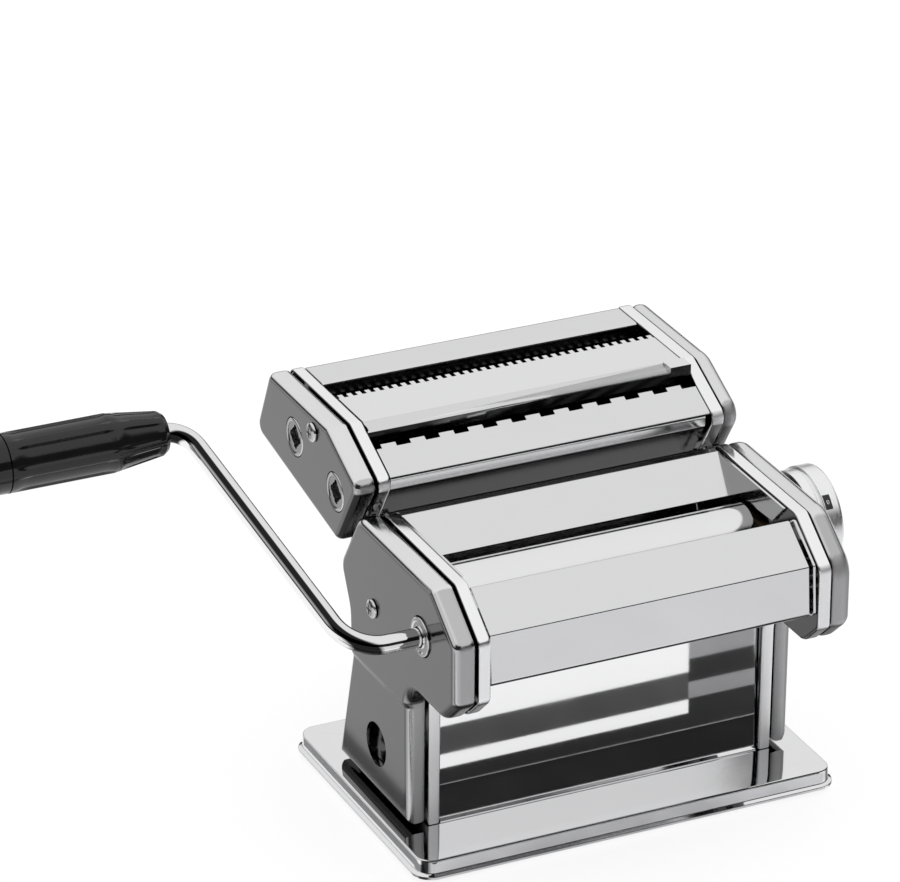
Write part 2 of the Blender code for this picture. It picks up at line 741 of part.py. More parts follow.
def partner(axis):
    """The driven roller's axis behind its drive roller."""
    return (axis[0] + CUTTER_SPACING * math.cos(CUTTER_TILT),
            axis[1] + CUTTER_SPACING * math.sin(CUTTER_TILT))


def cutter_axes():
    return (("wide_cutter_front", WIDE_FRONT), ("wide_cutter_rear", partner(WIDE_FRONT)),
            ("fine_cutter_front", FINE_FRONT), ("fine_cutter_rear", partner(FINE_FRONT)))


def build_cutter_ends():
    axes = [axis for _, axis in cutter_axes()]
    for label, side in (("left", -1), ("right", 1)):
        tray = open_tray(rounded(CUTTER_CORNERS), side, HALF_INNER, FLANGE_END)
        frame = piece("cutter_" + label + "_frame", tray, "chrome")
        thicken(frame, WEB)
        low, high = spans(side, HALF_INNER - 2, HALF_INNER + WEB + 2)
        for number, (y, z) in enumerate(axes):
            bore = cylinder(CUTTER_JOURNAL + SHAFT_PLAY, low, high, y, z, 16)
            cut(frame, bore, "journal_hole_" + str(number))
        cut(frame, cylinder(1.5 + GAP, low, high, *CUTTER_TIE, 10), "tie_hole")
        join(frame, tongue(side), "rail_tongue")
        holes = [("screw_hole", *CUTTER_TIE, SCREW_SHANK + GAP)]
        if side < 0:
            holes.append(("wide_socket_hole", *WIDE_FRONT, 8.4))
            holes.append(("fine_socket_hole", *FINE_FRONT, 8.4))
        face = COVER_FACE if side < 0 else CUTTER_RIGHT_FACE
        build_cover("cutter_" + label + "_cover", side, holes, rounded(CUTTER_CORNERS),
                    CUTTER_ROUND, face)


def notches(first, pitch, tooth, count, y, z):
    """Blocks between the teeth of a toothed edge, as one cutter."""
    blocks = bmesh.new()
    edges = [first - pitch / 2 + pitch * k for k in range(count + 1)]
    for x in edges:
        half = (pitch - tooth) / 2
        part = box((x - half, x + half), y, z)
        blocks.from_mesh(part)
    mesh = bpy.data.meshes.new("notches")
    blocks.to_mesh(mesh)
    blocks.free()
    return mesh


def build_cutter_plates():
    half = PANEL_HALF
    back = sheet([(80.4, 151.6), (80.4, 157.2), (98.9, 157.2), (110.6, 130.9)], -SHEET)
    centre = sheet([(67.4, 157.2), (40.7, 157.2), (35.2, 154.5), (34.8, 150.2)], SHEET)
    front = sheet([(28.9, 151.5), (13.1, 143.9), (13.6, 138.6), (29.6, 113.2)], SHEET)
    piece("cutter_back_plate", prism([back], -half, half), "chrome")
    centre_plate = piece("cutter_centre_plate", prism([centre], -half, half), "chrome")
    front_plate = piece("cutter_front_plate", prism([front], -half, half), "chrome")
    fine = notches(FINE_FIRST, FINE_PITCH, FINE_TOOTH, FINE_COUNT, (64.5, 68.0), (155.0, 159.0))
    cut(centre_plate, fine, "fine_teeth")
    wide = notches(WIDE_FIRST, WIDE_PITCH, 6.6, WIDE_COUNT, (27.0, 31.0), (148.0, 154.0))
    cut(front_plate, wide, "wide_teeth")


def wide_roller(first, count):
    """A turned roller whose rings and grooves alternate along its length."""
    profile = [(77.0, 0.0), (77.0, CUTTER_JOURNAL), (CUTTER_HALF, CUTTER_JOURNAL),
               (CUTTER_HALF, CUTTER_GROOVE)]
    for ring in reversed(range(count)):
        middle = first + WIDE_PITCH * ring
        high = middle + WIDE_RING / 2
        low = middle - WIDE_RING / 2
        profile += [(high, CUTTER_GROOVE), (high, CUTTER_RADIUS), (low, CUTTER_RADIUS),
                    (low, CUTTER_GROOVE)]
    return profile + cutter_left_end(CUTTER_GROOVE)


def cutter_left_end(radius):
    end = -83.4
    return [(-CUTTER_HALF, radius), (-CUTTER_HALF, CUTTER_JOURNAL), (end, CUTTER_JOURNAL),
            (end, 0.0)]


def build_cutter_rollers():
    fine = [(77.0, 0.0), (77.0, CUTTER_JOURNAL), (CUTTER_HALF, CUTTER_JOURNAL),
            (CUTTER_HALF, FINE_RADIUS)] + cutter_left_end(FINE_RADIUS)
    profiles = {
        "wide_cutter_front": wide_roller(WIDE_FIRST + WIDE_PITCH / 2, WIDE_COUNT - 1),
        "wide_cutter_rear": wide_roller(WIDE_FIRST, WIDE_COUNT),
        "fine_cutter_front": fine,
        "fine_cutter_rear": fine,
    }
    half_tooth = math.pi / CUTTER_GEAR_TEETH
    for name, (y, z) in cutter_axes():
        sides = 12 if name.startswith("wide") else 24
        origin = (0.0, y, z)
        piece(name, turned(profiles[name], y, z, sides), "black_steel", origin)
        turn = CUTTER_TILT
        if name.endswith("rear"):
            turn += math.pi + half_tooth
        loops = [gear_outline(y, z, CUTTER_GEAR_TEETH, CUTTER_GEAR_ROOT, CUTTER_GEAR_TIP, turn),
                 circle(y, z, CUTTER_JOURNAL + GAP, 12)]
        piece(name + "_gear", prism(loops, -83.2, -77.0), "gear_steel", origin)


def build_cutter_sockets():
    """Crank sockets on the two drive rollers, a round ring with a four-lobed hole."""
    for name, (y, z) in (("wide_socket", WIDE_FRONT), ("fine_socket", FINE_FRONT)):
        lobes = []
        for step in range(24):
            angle = 2 * math.pi * step / 24
            radius = 4.4 + 1.0 * max(0.0, math.cos(4 * angle))
            lobes.append((y + radius * math.cos(angle), z + radius * math.sin(angle)))
        ring = prism([circle(y, z, 8.0, 24), lobes], -89.3, -83.7)
        piece(name, ring, "chrome", (0.0, y, z))


def build_cutter_inside():
    end = [(79.5, 0.0), (79.5, 1.5), (PANEL_HALF, 1.5), (PANEL_HALF, 2.5)]
    profile = end + [(-x, radius) for x, radius in reversed(end)]
    piece("cutter_tie_rod", turned(profile, *CUTTER_TIE, 10), "gear_steel")
    wide = sheet([(37.6, 118.6), (44.8, 125.8)], SHEET)
    fine = sheet([(78.3, 125.6), (85.3, 132.8)], SHEET)
    for name, outline in (("wide_comb", wide), ("fine_comb", fine)):
        piece(name, prism([outline], -PANEL_HALF, PANEL_HALF), "spring_steel")


build_base()
build_sides()
build_panels()
build_hopper()
build_rollers()
build_bearings()
build_scrapers()
build_tie_rods()
build_screws()
build_crank()
build_knob()
build_rails()
build_cutter_ends()
build_cutter_plates()
build_cutter_rollers()
build_cutter_sockets()
build_cutter_inside()
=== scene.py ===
"""Looks of the hand-cranked pasta roller machine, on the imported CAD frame.

Sizes are in millimetres from the middle of the base plate's footprint; SHIFT moves them to the
row frame, whose origin is the bottom centre of the whole object's box.
"""

import math

import bmesh
import bpy
from mathutils import Matrix, Vector


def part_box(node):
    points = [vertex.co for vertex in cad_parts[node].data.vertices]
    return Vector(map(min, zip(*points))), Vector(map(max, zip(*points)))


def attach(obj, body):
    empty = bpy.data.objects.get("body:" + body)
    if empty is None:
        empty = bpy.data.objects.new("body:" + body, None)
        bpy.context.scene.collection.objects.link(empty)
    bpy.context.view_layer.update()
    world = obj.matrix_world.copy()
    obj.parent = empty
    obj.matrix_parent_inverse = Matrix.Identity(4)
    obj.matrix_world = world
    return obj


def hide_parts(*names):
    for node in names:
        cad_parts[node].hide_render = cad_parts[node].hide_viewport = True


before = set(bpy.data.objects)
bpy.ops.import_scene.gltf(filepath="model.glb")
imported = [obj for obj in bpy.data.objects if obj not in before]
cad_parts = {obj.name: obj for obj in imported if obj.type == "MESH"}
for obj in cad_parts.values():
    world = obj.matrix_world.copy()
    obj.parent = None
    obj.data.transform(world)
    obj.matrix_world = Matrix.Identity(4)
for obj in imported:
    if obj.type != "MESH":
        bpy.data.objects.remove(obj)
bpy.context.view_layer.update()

MM = 0.001
SHIFT = Vector((63.75, -14.6, 0.0))
ALONG_X = Matrix(((0, 0, 1, 0), (1, 0, 0, 0), (0, 1, 0, 0), (0, 0, 0, 1)))

FRONT_Y, REAR_Y, ROLLER_Z = -50.6, -23.0, 106.1
GRIP_Y, GRIP_Z = 49.0, 165.2
WIDE_FRONT = (31.9, 132.6)
FINE_FRONT = (72.3, 139.6)
TILT = math.radians(10.0)
TIE_UPPER = (-5.3, 97.1)
TIE_LOWER = (0.0, 54.0)
CUTTER_TIE = (53.6, 150.0)
CLAMP_HOLE = (-5.9, 35.0, 9.5)
SIDES = (("left", -1), ("right", 1))

COVER_FACE = 89.0               # how far a side cover's outer face stands from the middle
CUTTER_RIGHT_FACE = 86.7        # the right cutter cover is shallower than the others
COVER_STEP = (1.2, 66.5, 2.2)   # depth, height and softness of the step in the main covers
STEP_START, STEP_GROWTH = 83.5, 3.0     # x where the step sets in, and over how much it grows
FRAME_WEB = (70.0, 76.5)        # x range of a cut that goes through a side frame's web
MAIN_FRAME_FOOT, MAIN_COVER_FOOT = 10.5, 12.6
PANEL_HALF, PANEL_SHEET = 72.7, 0.8
ROLLER_HALF, ROLLER_RADIUS = 70.0, 13.1
CUTTER_SPACING = 18.0
WIDE_FIRST, WIDE_PITCH, WIDE_TEETH = -67.0, 13.0, 11
FINE_FIRST, FINE_PITCH, FINE_TEETH = -71.0, 4.06, 36
GRIP_START, GRIP_END, GRIP_BORE = -156.4, -225.0, 4.3

CAMERA_PLACE = Vector((-880.397, -1724.399, 1084.011))
CAMERA_LENS = 212.35
CAMERA_AZIMUTH = math.radians(25.634945)
CAMERA_DOWN = math.radians(25.729357)
CAMERA_ROLL = math.radians(0.51747)
FLAG_CORNER = Vector((76.0, -99.0))     # a point of the line where the cards change tone
FLAG_SLANT = 0.53                       # how far that line leans to +X towards the front
LABEL_ANGLE = 137.0             # where the knob's label sits at rest, from +Y towards +Z

MAIN_TOP = (
    (-36.2, 77.6, 12.0),
    (-70.0, 77.6, 9.0),
    (-81.6, 88.6, 5.0),
    (-81.3, 115.2, 5.0),
    (-59.3, 131.2, 5.0),
    (11.0, 131.5, 9.0),
    (28.5, 103.5, 9.0),
    (19.6, 86.0, 14.0),
    (18.6, 68.0, 30.0),
)
CUTTER_TOP = (
    (10.0, 142.8, 5.0),
    (40.5, 157.6, 4.0),
    (99.5, 157.6, 4.0),
    (113.5, 126.0, 6.0),
    (30.3, 110.3, 4.5),
)
CUTTER_RIGHT = (                # the right covers get softer corners than the left ones
    (10.0, 142.8, 8.0),
    (40.5, 157.6, 14.0),
    (99.5, 157.6, 7.0),
    (113.5, 126.0, 6.0),
    (30.3, 110.3, 5.5),
)
MAIN_RIGHT = (
    (-36.2, 77.6, 12.0),
    (-70.0, 77.6, 9.0),
    (-81.6, 88.6, 6.0),
    (-81.3, 115.2, 13.0),
    (-59.3, 131.2, 13.0),
    (11.0, 131.5, 10.0),
    (28.5, 103.5, 9.0),
    (19.6, 86.0, 14.0),
    (18.6, 68.0, 30.0),
)


# Outlines in the (y, z) plane

def rounded(corners, steps=9):
    """A closed outline whose corners (y, z, radius) become arcs."""
    outline = []
    count = len(corners)
    for index, (y, z, radius) in enumerate(corners):
        corner = Vector((y, z))
        if radius == 0:
            outline.append((y, z))
            continue
        before = (Vector(corners[index - 1][:2]) - corner).normalized()
        after = (Vector(corners[(index + 1) % count][:2]) - corner).normalized()
        half = before.angle(after) / 2
        centre = corner + (before + after).normalized() * radius / math.sin(half)
        start = corner + before * radius / math.tan(half) - centre
        sweep = start.angle_signed(corner + after * radius / math.tan(half) - centre)
        for step in range(steps + 1):
            point = centre + Matrix.Rotation(-sweep * step / steps, 2) @ start
            outline.append((point.x, point.y))
    return outline


def rounded_path(corners, steps=6):
    """The same for an open line: its two ends keep their places."""
    inner = rounded([(y, z, r) for y, z, r in corners], steps)
    if corners[0][2] or corners[-1][2]:
        raise ValueError("the ends of a path have no radius")
    return inner


def main_outline(foot, top=MAIN_TOP):
    return rounded(((-36.2, foot, 0.0),) + top + ((32.0, foot, 0.0),))


def unit(value):
    """The value, kept between 0 and 1."""
    return min(1.0, max(0.0, value))


def span(side, low, high):
    """A range of x on one side of the middle, its smaller end first."""
    return sorted((side * low, side * high))


def circle(y, z, radius, steps=48):
    turn = 2 * math.pi / steps
    return [(y + radius * math.cos(turn * k), z + radius * math.sin(turn * k)) for k in range(steps)]


def offset_closed(points, inset):
    """Move every side of a clockwise closed outline inward."""
    count = len(points)
    moved = []
    for index in range(count):
        here = Vector(points[index])
        into = (here - Vector(points[index - 1])).normalized()
        out = (Vector(points[(index + 1) % count]) - here).normalized()
        first = Vector((into.y, -into.x))
        second = Vector((out.y, -out.x))
        middle = (first + second).normalized()
        moved.append(tuple(here + middle * inset / max(0.3, middle.dot(first))))
    return moved


def sheet(points, thickness):
    """The closed outline of a bent sheet, its second face to the left of travel."""
    inner = []
    for index, (y, z) in enumerate(points):
        here = Vector((y, z))
        into = here - Vector(points[index - 1]) if index > 0 else None
        out = Vector(points[index + 1]) - here if index < len(points) - 1 else None
        first = (into or out).normalized()
        second = (out or into).normalized()
        side = Vector((-first.y - second.y, first.x + second.x)).normalized()
        inner.append(tuple(here + side * thickness / side.dot(Vector((-first.y, first.x)))))
    return list(points) + inner[::-1]


# Meshes in millimetres

def edit(mesh, action):
    work = bmesh.new()
    work.from_mesh(mesh)
    action(work)
    work.to_mesh(mesh)
    work.free()
    return mesh


def weld(mesh, distance=0.005):
    def shape(work):
        bmesh.ops.remove_doubles(work, verts=work.verts, dist=distance)
        bmesh.ops.dissolve_degenerate(work, edges=work.edges, dist=distance)
        bmesh.ops.recalc_face_normals(work, faces=work.faces)

    return edit(mesh, shape)


def evaluated_mesh(item):
    bpy.context.scene.collection.objects.link(item)
    graph = bpy.context.evaluated_depsgraph_get()
    mesh = bpy.data.meshes.new_from_object(item.evaluated_get(graph))
    bpy.data.objects.remove(item, do_unlink=True)
    return mesh


def prism(loops, low, high, edge=0.0, placing=ALONG_X):
    """Outline and holes extruded, with rounded edges where edge is a radius."""
    curve = bpy.data.curves.new("outline", "CURVE")
    curve.dimensions = "2D"
    curve.fill_mode = "BOTH"
    curve.extrude = (high - low) / 2 - edge
    curve.bevel_depth = edge
    curve.bevel_resolution = 2
    curve.offset = -edge
    for loop in loops:
        spline = curve.splines.new("POLY")
        spline.points.add(len(loop) - 1)
        for point, (a, b) in zip(spline.points, loop):
            point.co = (a, b, 0.0, 1.0)
        spline.use_cyclic_u = True
    mesh = weld(evaluated_mesh(bpy.data.objects.new("outline", curve)))
    mesh.transform(placing @ Matrix.Translation((0.0, 0.0, (low + high) / 2)))
    return mesh


def loft(rings, cap_first, cap_last):
    """Skin over a list of rings of 3D points."""
    work = bmesh.new()
    rows = [[work.verts.new(point) for point in ring] for ring in rings]
    count = len(rows[0])
    for row, following in zip(rows, rows[1:]):
        for k in range(count):
            nxt = (k + 1) % count
            work.faces.new((row[k], row[nxt], following[nxt], following[k]))
    if cap_first:
        work.faces.new(rows[0][::-1])
    if cap_last:
        work.faces.new(rows[-1])
    bmesh.ops.recalc_face_normals(work, faces=work.faces)
    mesh = bpy.data.meshes.new("loft")
    work.to_mesh(mesh)
    work.free()
    return mesh


def turned(profile, y, z, segments=64, closed=False):
    """Revolve (x, radius) points about the X line at (y, z)."""
    work = bmesh.new()
    rows = []
    for x, radius in profile:
        if radius < 0.001:
            rows.append([work.verts.new((x, y, z))])
            continue
        rows.append([work.verts.new((x, a, b)) for a, b in circle(y, z, radius, segments)])
    pairs = list(zip(rows, rows[1:]))
    if closed:
        pairs.append((rows[-1], rows[0]))
    for row, following in pairs:
        for k in range(segments):
            nxt = (k + 1) % segments
            if len(row) == 1 and len(following) == 1:
                continue
            if len(row) == 1:
                work.faces.new((row[0], following[nxt], following[k]))
            elif len(following) == 1:
                work.faces.new((row[k], row[nxt], following[0]))
            else:
                work.faces.new((row[k], row[nxt], following[nxt], following[k]))
    bmesh.ops.recalc_face_normals(work, faces=work.faces)
    mesh = bpy.data.meshes.new("turned")
    work.to_mesh(mesh)
    work.free()
    return mesh


def fillets(profile, steps=4):
    """Round the corners of an (x, radius) profile; points may carry a third value, a radius."""
    result = []
    for index, point in enumerate(profile):
        radius = point[2] if len(point) > 2 else 0.0
        here = Vector(point[:2])
        if radius == 0 or index in (0, len(profile) - 1):
            result.append(tuple(here))
            continue
        before = Vector(profile[index - 1][:2]) - here
        after = Vector(profile[index + 1][:2]) - here
        half = before.angle(after) / 2
        reach = min(radius / math.tan(half), before.length * 0.49, after.length * 0.49)
        start = here + before.normalized() * reach
        end = here + after.normalized() * reach
        for step in range(steps + 1):
            t = step / steps
            result.append(tuple(start * (1 - t) ** 2 + here * 2 * t * (1 - t) + end * t * t))
    return result


def cylinder(radius, low, high, y, z, segments=48):
    return turned([(low, 0.0), (low, radius), (high, radius), (high, 0.0)], y, z, segments)


def tube(points, radius, resolution=6):
    curve = bpy.data.curves.new("path", "CURVE")
    curve.dimensions = "3D"
    curve.bevel_depth = radius
    curve.bevel_resolution = resolution
    curve.use_fill_caps = True
    spline = curve.splines.new("POLY")
    spline.points.add(len(points) - 1)
    for point, here in zip(spline.points, points):
        point.co = (*here, 1.0)
    return weld(evaluated_mesh(bpy.data.objects.new("path", curve)))


def boolean(mesh, others, operation="DIFFERENCE"):
    """Cut or join a list of meshes."""
    item = bpy.data.objects.new("target", mesh)
    helpers = []
    for other in others:
        helper = bpy.data.objects.new("operand", other)
        bpy.context.scene.collection.objects.link(helper)
        change = item.modifiers.new("change", "BOOLEAN")
        change.operation = operation
        change.solver = "EXACT"
        change.object = helper
        helpers.append(helper)
    result = evaluated_mesh(item)
    for helper in helpers:
        bpy.data.objects.remove(helper, do_unlink=True)
    return weld(result, 0.002)


def solidify(mesh, thickness):
    item = bpy.data.objects.new("skin", mesh)
    shell = item.modifiers.new("sheet", "SOLIDIFY")
    shell.thickness = thickness
    shell.offset = -1.0
    shell.use_even_offset = True
    return evaluated_mesh(item)


def joined(meshes):
    """Several separate solids as one mesh."""
    work = bmesh.new()
    for mesh in meshes:
        work.from_mesh(mesh)
    result = bpy.data.meshes.new("joined")
    work.to_mesh(result)
    work.free()
    return result


def mirrored(mesh):
    """The same shape on the other side."""
    copy = mesh.copy()
    copy.transform(Matrix.Diagonal((-1.0, 1.0, 1.0, 1.0)))
    return edit(copy, lambda work: bmesh.ops.reverse_faces(work, faces=work.faces))


# Materials

def principled(name):
    made = bpy.data.materials.new(name)
    made.use_nodes = True
    return made, made.node_tree.nodes, made.node_tree.links, made.node_tree.nodes["Principled BSDF"]


def noise(nodes, links, scale, detail=4.0, stretch=(1.0, 1.0, 1.0)):
    """Noise in the object's own coordinates, stretched along an axis for a grain."""
    place = nodes.new("ShaderNodeTexCoord")
    mapping = nodes.new("ShaderNodeMapping")
    mapping.inputs["Scale"].default_value = stretch
    texture = nodes.new("ShaderNodeTexNoise")
    texture.inputs["Scale"].default_value = scale
    texture.inputs["Detail"].default_value = detail
    links.new(place.outputs["Object"], mapping.inputs["Vector"])
    links.new(mapping.outputs["Vector"], texture.inputs["Vector"])
    return texture


def spread(nodes, links, source, low, high, start=0.3, end=0.7):
    """Map a noise to a range."""
    ramp = nodes.new("ShaderNodeMapRange")
    ramp.inputs["From Min"].default_value = start
    ramp.inputs["From Max"].default_value = end
    ramp.inputs["To Min"].default_value = low
    ramp.inputs["To Max"].default_value = high
    links.new(source, ramp.inputs["Value"])
    return ramp.outputs["Result"]


def mixed(nodes, links, share, first, second, blend="MIX"):
    """Mix two colours; each is an output or three numbers."""
    mix = nodes.new("ShaderNodeMixRGB")
    mix.blend_type = blend
    links.new(share, mix.inputs["Fac"])
    for name, source in (("Color1", first), ("Color2", second)):
        if isinstance(source, tuple):
            mix.inputs[name].default_value = (*source, 1.0)
        else:
            links.new(source, mix.inputs[name])
    return mix.outputs["Color"]


def computed(nodes, links, operation, first, second):
    made = nodes.new("ShaderNodeMath")
    made.operation = operation
    links.new(first, made.inputs[0])
    links.new(second, made.inputs[1])
    return made.outputs["Value"]


def facing_axes(nodes, links):
    """The object's own normal, split into its three axes."""
    place = nodes.new("ShaderNodeTexCoord")
    split = nodes.new("ShaderNodeSeparateXYZ")
    links.new(place.outputs["Normal"], split.inputs["Vector"])
    return split.outputs


def add_bump(nodes, links, shader, source, distance):
    bump = nodes.new("ShaderNodeBump")
    bump.inputs["Distance"].default_value = distance
    links.new(source, bump.inputs["Height"])
    links.new(bump.outputs["Normal"], shader.inputs["Normal"])


def metal(name, tone, roughness, grain=(1.0, 1.0, 1.0), wave=0.0, marks=0.02, tints=None):
    """Plated or bright sheet: fine polishing grain, slow waviness and faint smudges."""
    made, nodes, links, shader = principled(name)
    shader.inputs["Metallic"].default_value = 1.0
    polish = noise(nodes, links, 900.0, 6.0, grain)
    smudge = noise(nodes, links, 38.0, 3.0)
    base = spread(nodes, links, polish.outputs["Fac"], roughness * 0.8, roughness * 1.25)
    cloud = spread(nodes, links, smudge.outputs["Fac"], 0.0, marks, 0.45, 0.8)
    links.new(computed(nodes, links, "ADD", base, cloud), shader.inputs["Roughness"])
    dull, clean = tints or ((tone * 0.97, tone * 0.97, tone * 0.98), (tone, tone, tone * 1.005))
    tint = mixed(nodes, links, smudge.outputs["Fac"], dull, clean)
    links.new(tint, shader.inputs["Base Color"])
    if wave:
        slow = noise(nodes, links, 16.0, 1.0)
        add_bump(nodes, links, shader, slow.outputs["Fac"], wave)
    made.diffuse_color = (tone, tone, tone, 1.0)
    return made


def shade_facing(made, facings):
    """Give faces that look along an axis their own tone, from (axis, tone, start, end). The tones
    stand in for what these faces would reflect in a room that the studio here doesn't have."""
    nodes, links = made.node_tree.nodes, made.node_tree.links
    shader = nodes["Principled BSDF"]
    rim = shader.inputs["Base Color"].links[0].from_socket
    axes = facing_axes(nodes, links)
    for axis, tone, start, end in facings:
        share = spread(nodes, links, axes[axis], 0.0, 1.0, start, end)
        rim = mixed(nodes, links, share, rim, (tone, tone, tone * 1.01))
    links.new(rim, shader.inputs["Base Color"])
    return made


def sided(name, tone, roughness, grain, left_painted_tone, right_painted_tone, front_painted_tone, right_start=0.72,
          chamfer=None):
    """Sheet whose chamfers, front, underside and two side faces each get a painted tone: painted
    reflections on the chamfers, front and sides, and painted shade on the underside.
    """
    facings = (("Y", chamfer or tone, -0.45, -0.56), ("Y", front_painted_tone, -0.80, -0.98),
               ("Z", 0.06, -0.35, -0.60), ("X", left_painted_tone, -0.72, -0.97),
               ("X", right_painted_tone, right_start, 0.97))
    return shade_facing(metal(name, tone, roughness, grain), facings)


def brush_front(made, roughness, start=-0.80, end=-0.97):
    """Make faces that look forward rougher, which blurs what they reflect."""
    nodes, links = made.node_tree.nodes, made.node_tree.links
    shader = nodes["Principled BSDF"]
    polished = shader.inputs["Roughness"].links[0].from_socket
    axes = facing_axes(nodes, links)
    extra = spread(nodes, links, axes["Y"], 0.0, roughness, start, end)
    links.new(computed(nodes, links, "ADD", polished, extra), shader.inputs["Roughness"])
    return made


def plastic(name, tone, roughness, pits=0.00002):
    """Moulded plastic with a fine skin."""
    made, nodes, links, shader = principled(name)
    skin = noise(nodes, links, 700.0, 5.0)
    smudge = noise(nodes, links, 45.0, 3.0)
    rough = spread(nodes, links, smudge.outputs["Fac"], roughness, roughness * 1.7)
    links.new(rough, shader.inputs["Roughness"])
    tint = mixed(nodes, links, smudge.outputs["Fac"], (tone, tone, tone),
                 (tone * 1.6, tone * 1.6, tone * 1.65))
    links.new(tint, shader.inputs["Base Color"])
    add_bump(nodes, links, shader, skin.outputs["Fac"], pits)
    made.diffuse_color = (tone, tone, tone, 1.0)
    return made


MIRROR = metal("polished_chrome", 0.86, 0.035, wave=0.00004)
BRIGHT = metal("bright_sheet", 0.97, 0.10, grain=(0.06, 1.0, 1.0), wave=0.00003)
# Painted reflection: the deck's slanting front rounding is painted near black, while the upright
# front wall keeps the chrome tone.
DECK = shade_facing(metal("deck_chrome", 0.86, 0.035, wave=0.00004),
                    (("Y", 0.04, -0.48, -0.58), ("Y", 0.86, -0.82, -0.93)))
# Painted reflection: a dark stripe along the crank rod, on faces that look partly towards -X.
ROD = shade_facing(metal("rod_chrome", 0.86, 0.035),
                   (("X", 0.02, -0.10, -0.18), ("X", 0.86, -0.60, -0.70)))
# Painted shade: faces of these sheets that look downward are painted near black.
PANEL = shade_facing(metal("panel_sheet", 0.79, 0.12, grain=(0.04, 1.0, 1.0), wave=0.00002),
                     (("Z", 0.05, -0.15, -0.32),))
# Painted light and shade: the sloping front facet is painted a little darker than the top, and
# forward-looking lip faces and undersides are painted near black.
LIPPED = shade_facing(metal("lipped_sheet", 0.86, 0.12, grain=(0.04, 1.0, 1.0)),
                      (("Z", 0.74, 0.985, 0.93), ("Y", 0.03, -0.80, -0.97),
                       ("Z", 0.05, -0.30, -0.50)))
# Painted reflection: hopper faces that look towards -X are painted mid grey.
HOPPER = shade_facing(metal("hopper_sheet", 0.79, 0.12, grain=(0.04, 1.0, 1.0)),
                      (("X", 0.32, -0.80, -0.97),))
# Painted reflections and shade on the side frames and covers, by which way each face looks; the left
# cover's downward faces are also painted near black.
LEFT_FRAME = brush_front(
    sided("left_frame_sheet", 0.97, 0.10, (0.06, 1.0, 1.0), 0.03, 0.40, 0.96), 0.30)
RIGHT_FRAME = brush_front(
    sided("right_frame_sheet", 0.97, 0.10, (0.06, 1.0, 1.0), 0.07, 0.03, 0.93), 0.35, -0.60, -0.72)
LEFT_COVER = shade_facing(brush_front(
    sided("left_cover_chrome", 0.84, 0.13, (1.0, 0.2, 1.0), 0.11, 0.03, 0.44, chamfer=0.55), 0.30),
    (("Z", 0.02, -0.12, -0.30),))
RIGHT_COVER = brush_front(
    sided("right_cover_chrome", 0.80, 0.16, (1.0, 0.2, 1.0), 0.30, 0.15, 0.50, 0.15, 0.50),
    0.38, -0.60, -0.72)
KNOB = metal("knob_chrome", 0.97, 0.30, grain=(1.0, 0.3, 0.3))
ROLLER = metal("roller_steel", 0.88, 0.10, grain=(0.05, 1.0, 1.0))
# Painted reflection: faces of turned parts that look towards -X are painted darker.
TURNED = shade_facing(metal("turned_steel", 0.74, 0.14, grain=(1.0, 0.25, 0.25)),
                      (("X", 0.20, -0.75, -0.97),))
BLACKENED = metal("blackened_steel", 0.035, 0.28, grain=(1.0, 0.3, 0.3), marks=0.05)
GEAR = metal("gear_steel", 0.30, 0.33, marks=0.08)
SPRING = metal("spring_steel", 0.62, 0.2, grain=(0.05, 1.0, 1.0))
BRONZE = metal("bearing_bronze", 0.5, 0.35, tints=((0.20, 0.14, 0.07), (0.26, 0.19, 0.10)))
GRIP = plastic("grip_plastic", 0.006, 0.10)
LABEL = plastic("label_black", 0.010, 0.25)
INK = plastic("label_white", 0.62, 0.4)
RUBBER = plastic("foot_rubber", 0.02, 0.6, pits=0.00006)
FRAME_SHEET = {-1: LEFT_FRAME, 1: RIGHT_FRAME}
COVER_CHROME = {-1: LEFT_COVER, 1: RIGHT_COVER}


def piece(name, mesh, material, body, replaces=(), angle=30.0):
    """A finished visual piece on a CAD body."""
    mesh.name = name
    mesh.transform(Matrix.Scale(MM, 4) @ Matrix.Translation(SHIFT))
    made = bpy.data.objects.new(name, mesh)
    bpy.context.scene.collection.objects.link(made)
    mesh.materials.clear()
    mesh.materials.append(material)
    mesh.shade_smooth()
    mesh.set_sharp_from_angle(angle=math.radians(angle))
    flat = made.modifiers.new("flat_faces", "WEIGHTED_NORMAL")
    flat.keep_sharp = True
    flat.weight = 80
    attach(made, body)
    if replaces:
        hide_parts(*replaces)
    return made


def repaint(node, material):
    """A CAD node whose shape is right keeps it and gets the detailed material."""
    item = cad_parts[node]
    item.data.materials.clear()
    item.data.materials.append(material)


# Side frames and covers

def rings_along_x(outline, stations, side):
    """Rings of an outline at (x, inset) stations, mirrored to the left side if asked."""
    return [[(side * x, y, z) for y, z in offset_closed(outline, inset)] for x, inset in stations]


def round_over(x, inset, radius, steps=5):
    """Stations of a quarter round that turns a wall into a face at x."""
    stations = []
    for step in range(steps + 1):
        angle = math.pi / 2 * step / steps
        stations.append((x - radius + radius * math.sin(angle),
                         inset + radius - radius * math.cos(angle)))
    return stations


def pressed_step(mesh, side, height, line, softness):
    """Set the face below a line in by a height, with a soft slope."""
    cuts = 7

    def shape(work):
        for k in range(cuts + 1):
            z = line - softness + 2 * softness * k / cuts
            geometry = list(work.verts) + list(work.edges) + list(work.faces)
            bmesh.ops.bisect_plane(work, geom=geometry, plane_co=(0.0, 0.0, z),
                                   plane_no=(0.0, 0.0, 1.0), dist=0.001)
        for vert in work.verts:
            if side * vert.co.x > STEP_START:
                t = unit((line + softness - vert.co.z) / (2 * softness))
                share = unit((side * vert.co.x - STEP_START) / STEP_GROWTH)
                vert.co.x -= side * height * share * t * t * (3 - 2 * t)

    return edit(mesh, shape)


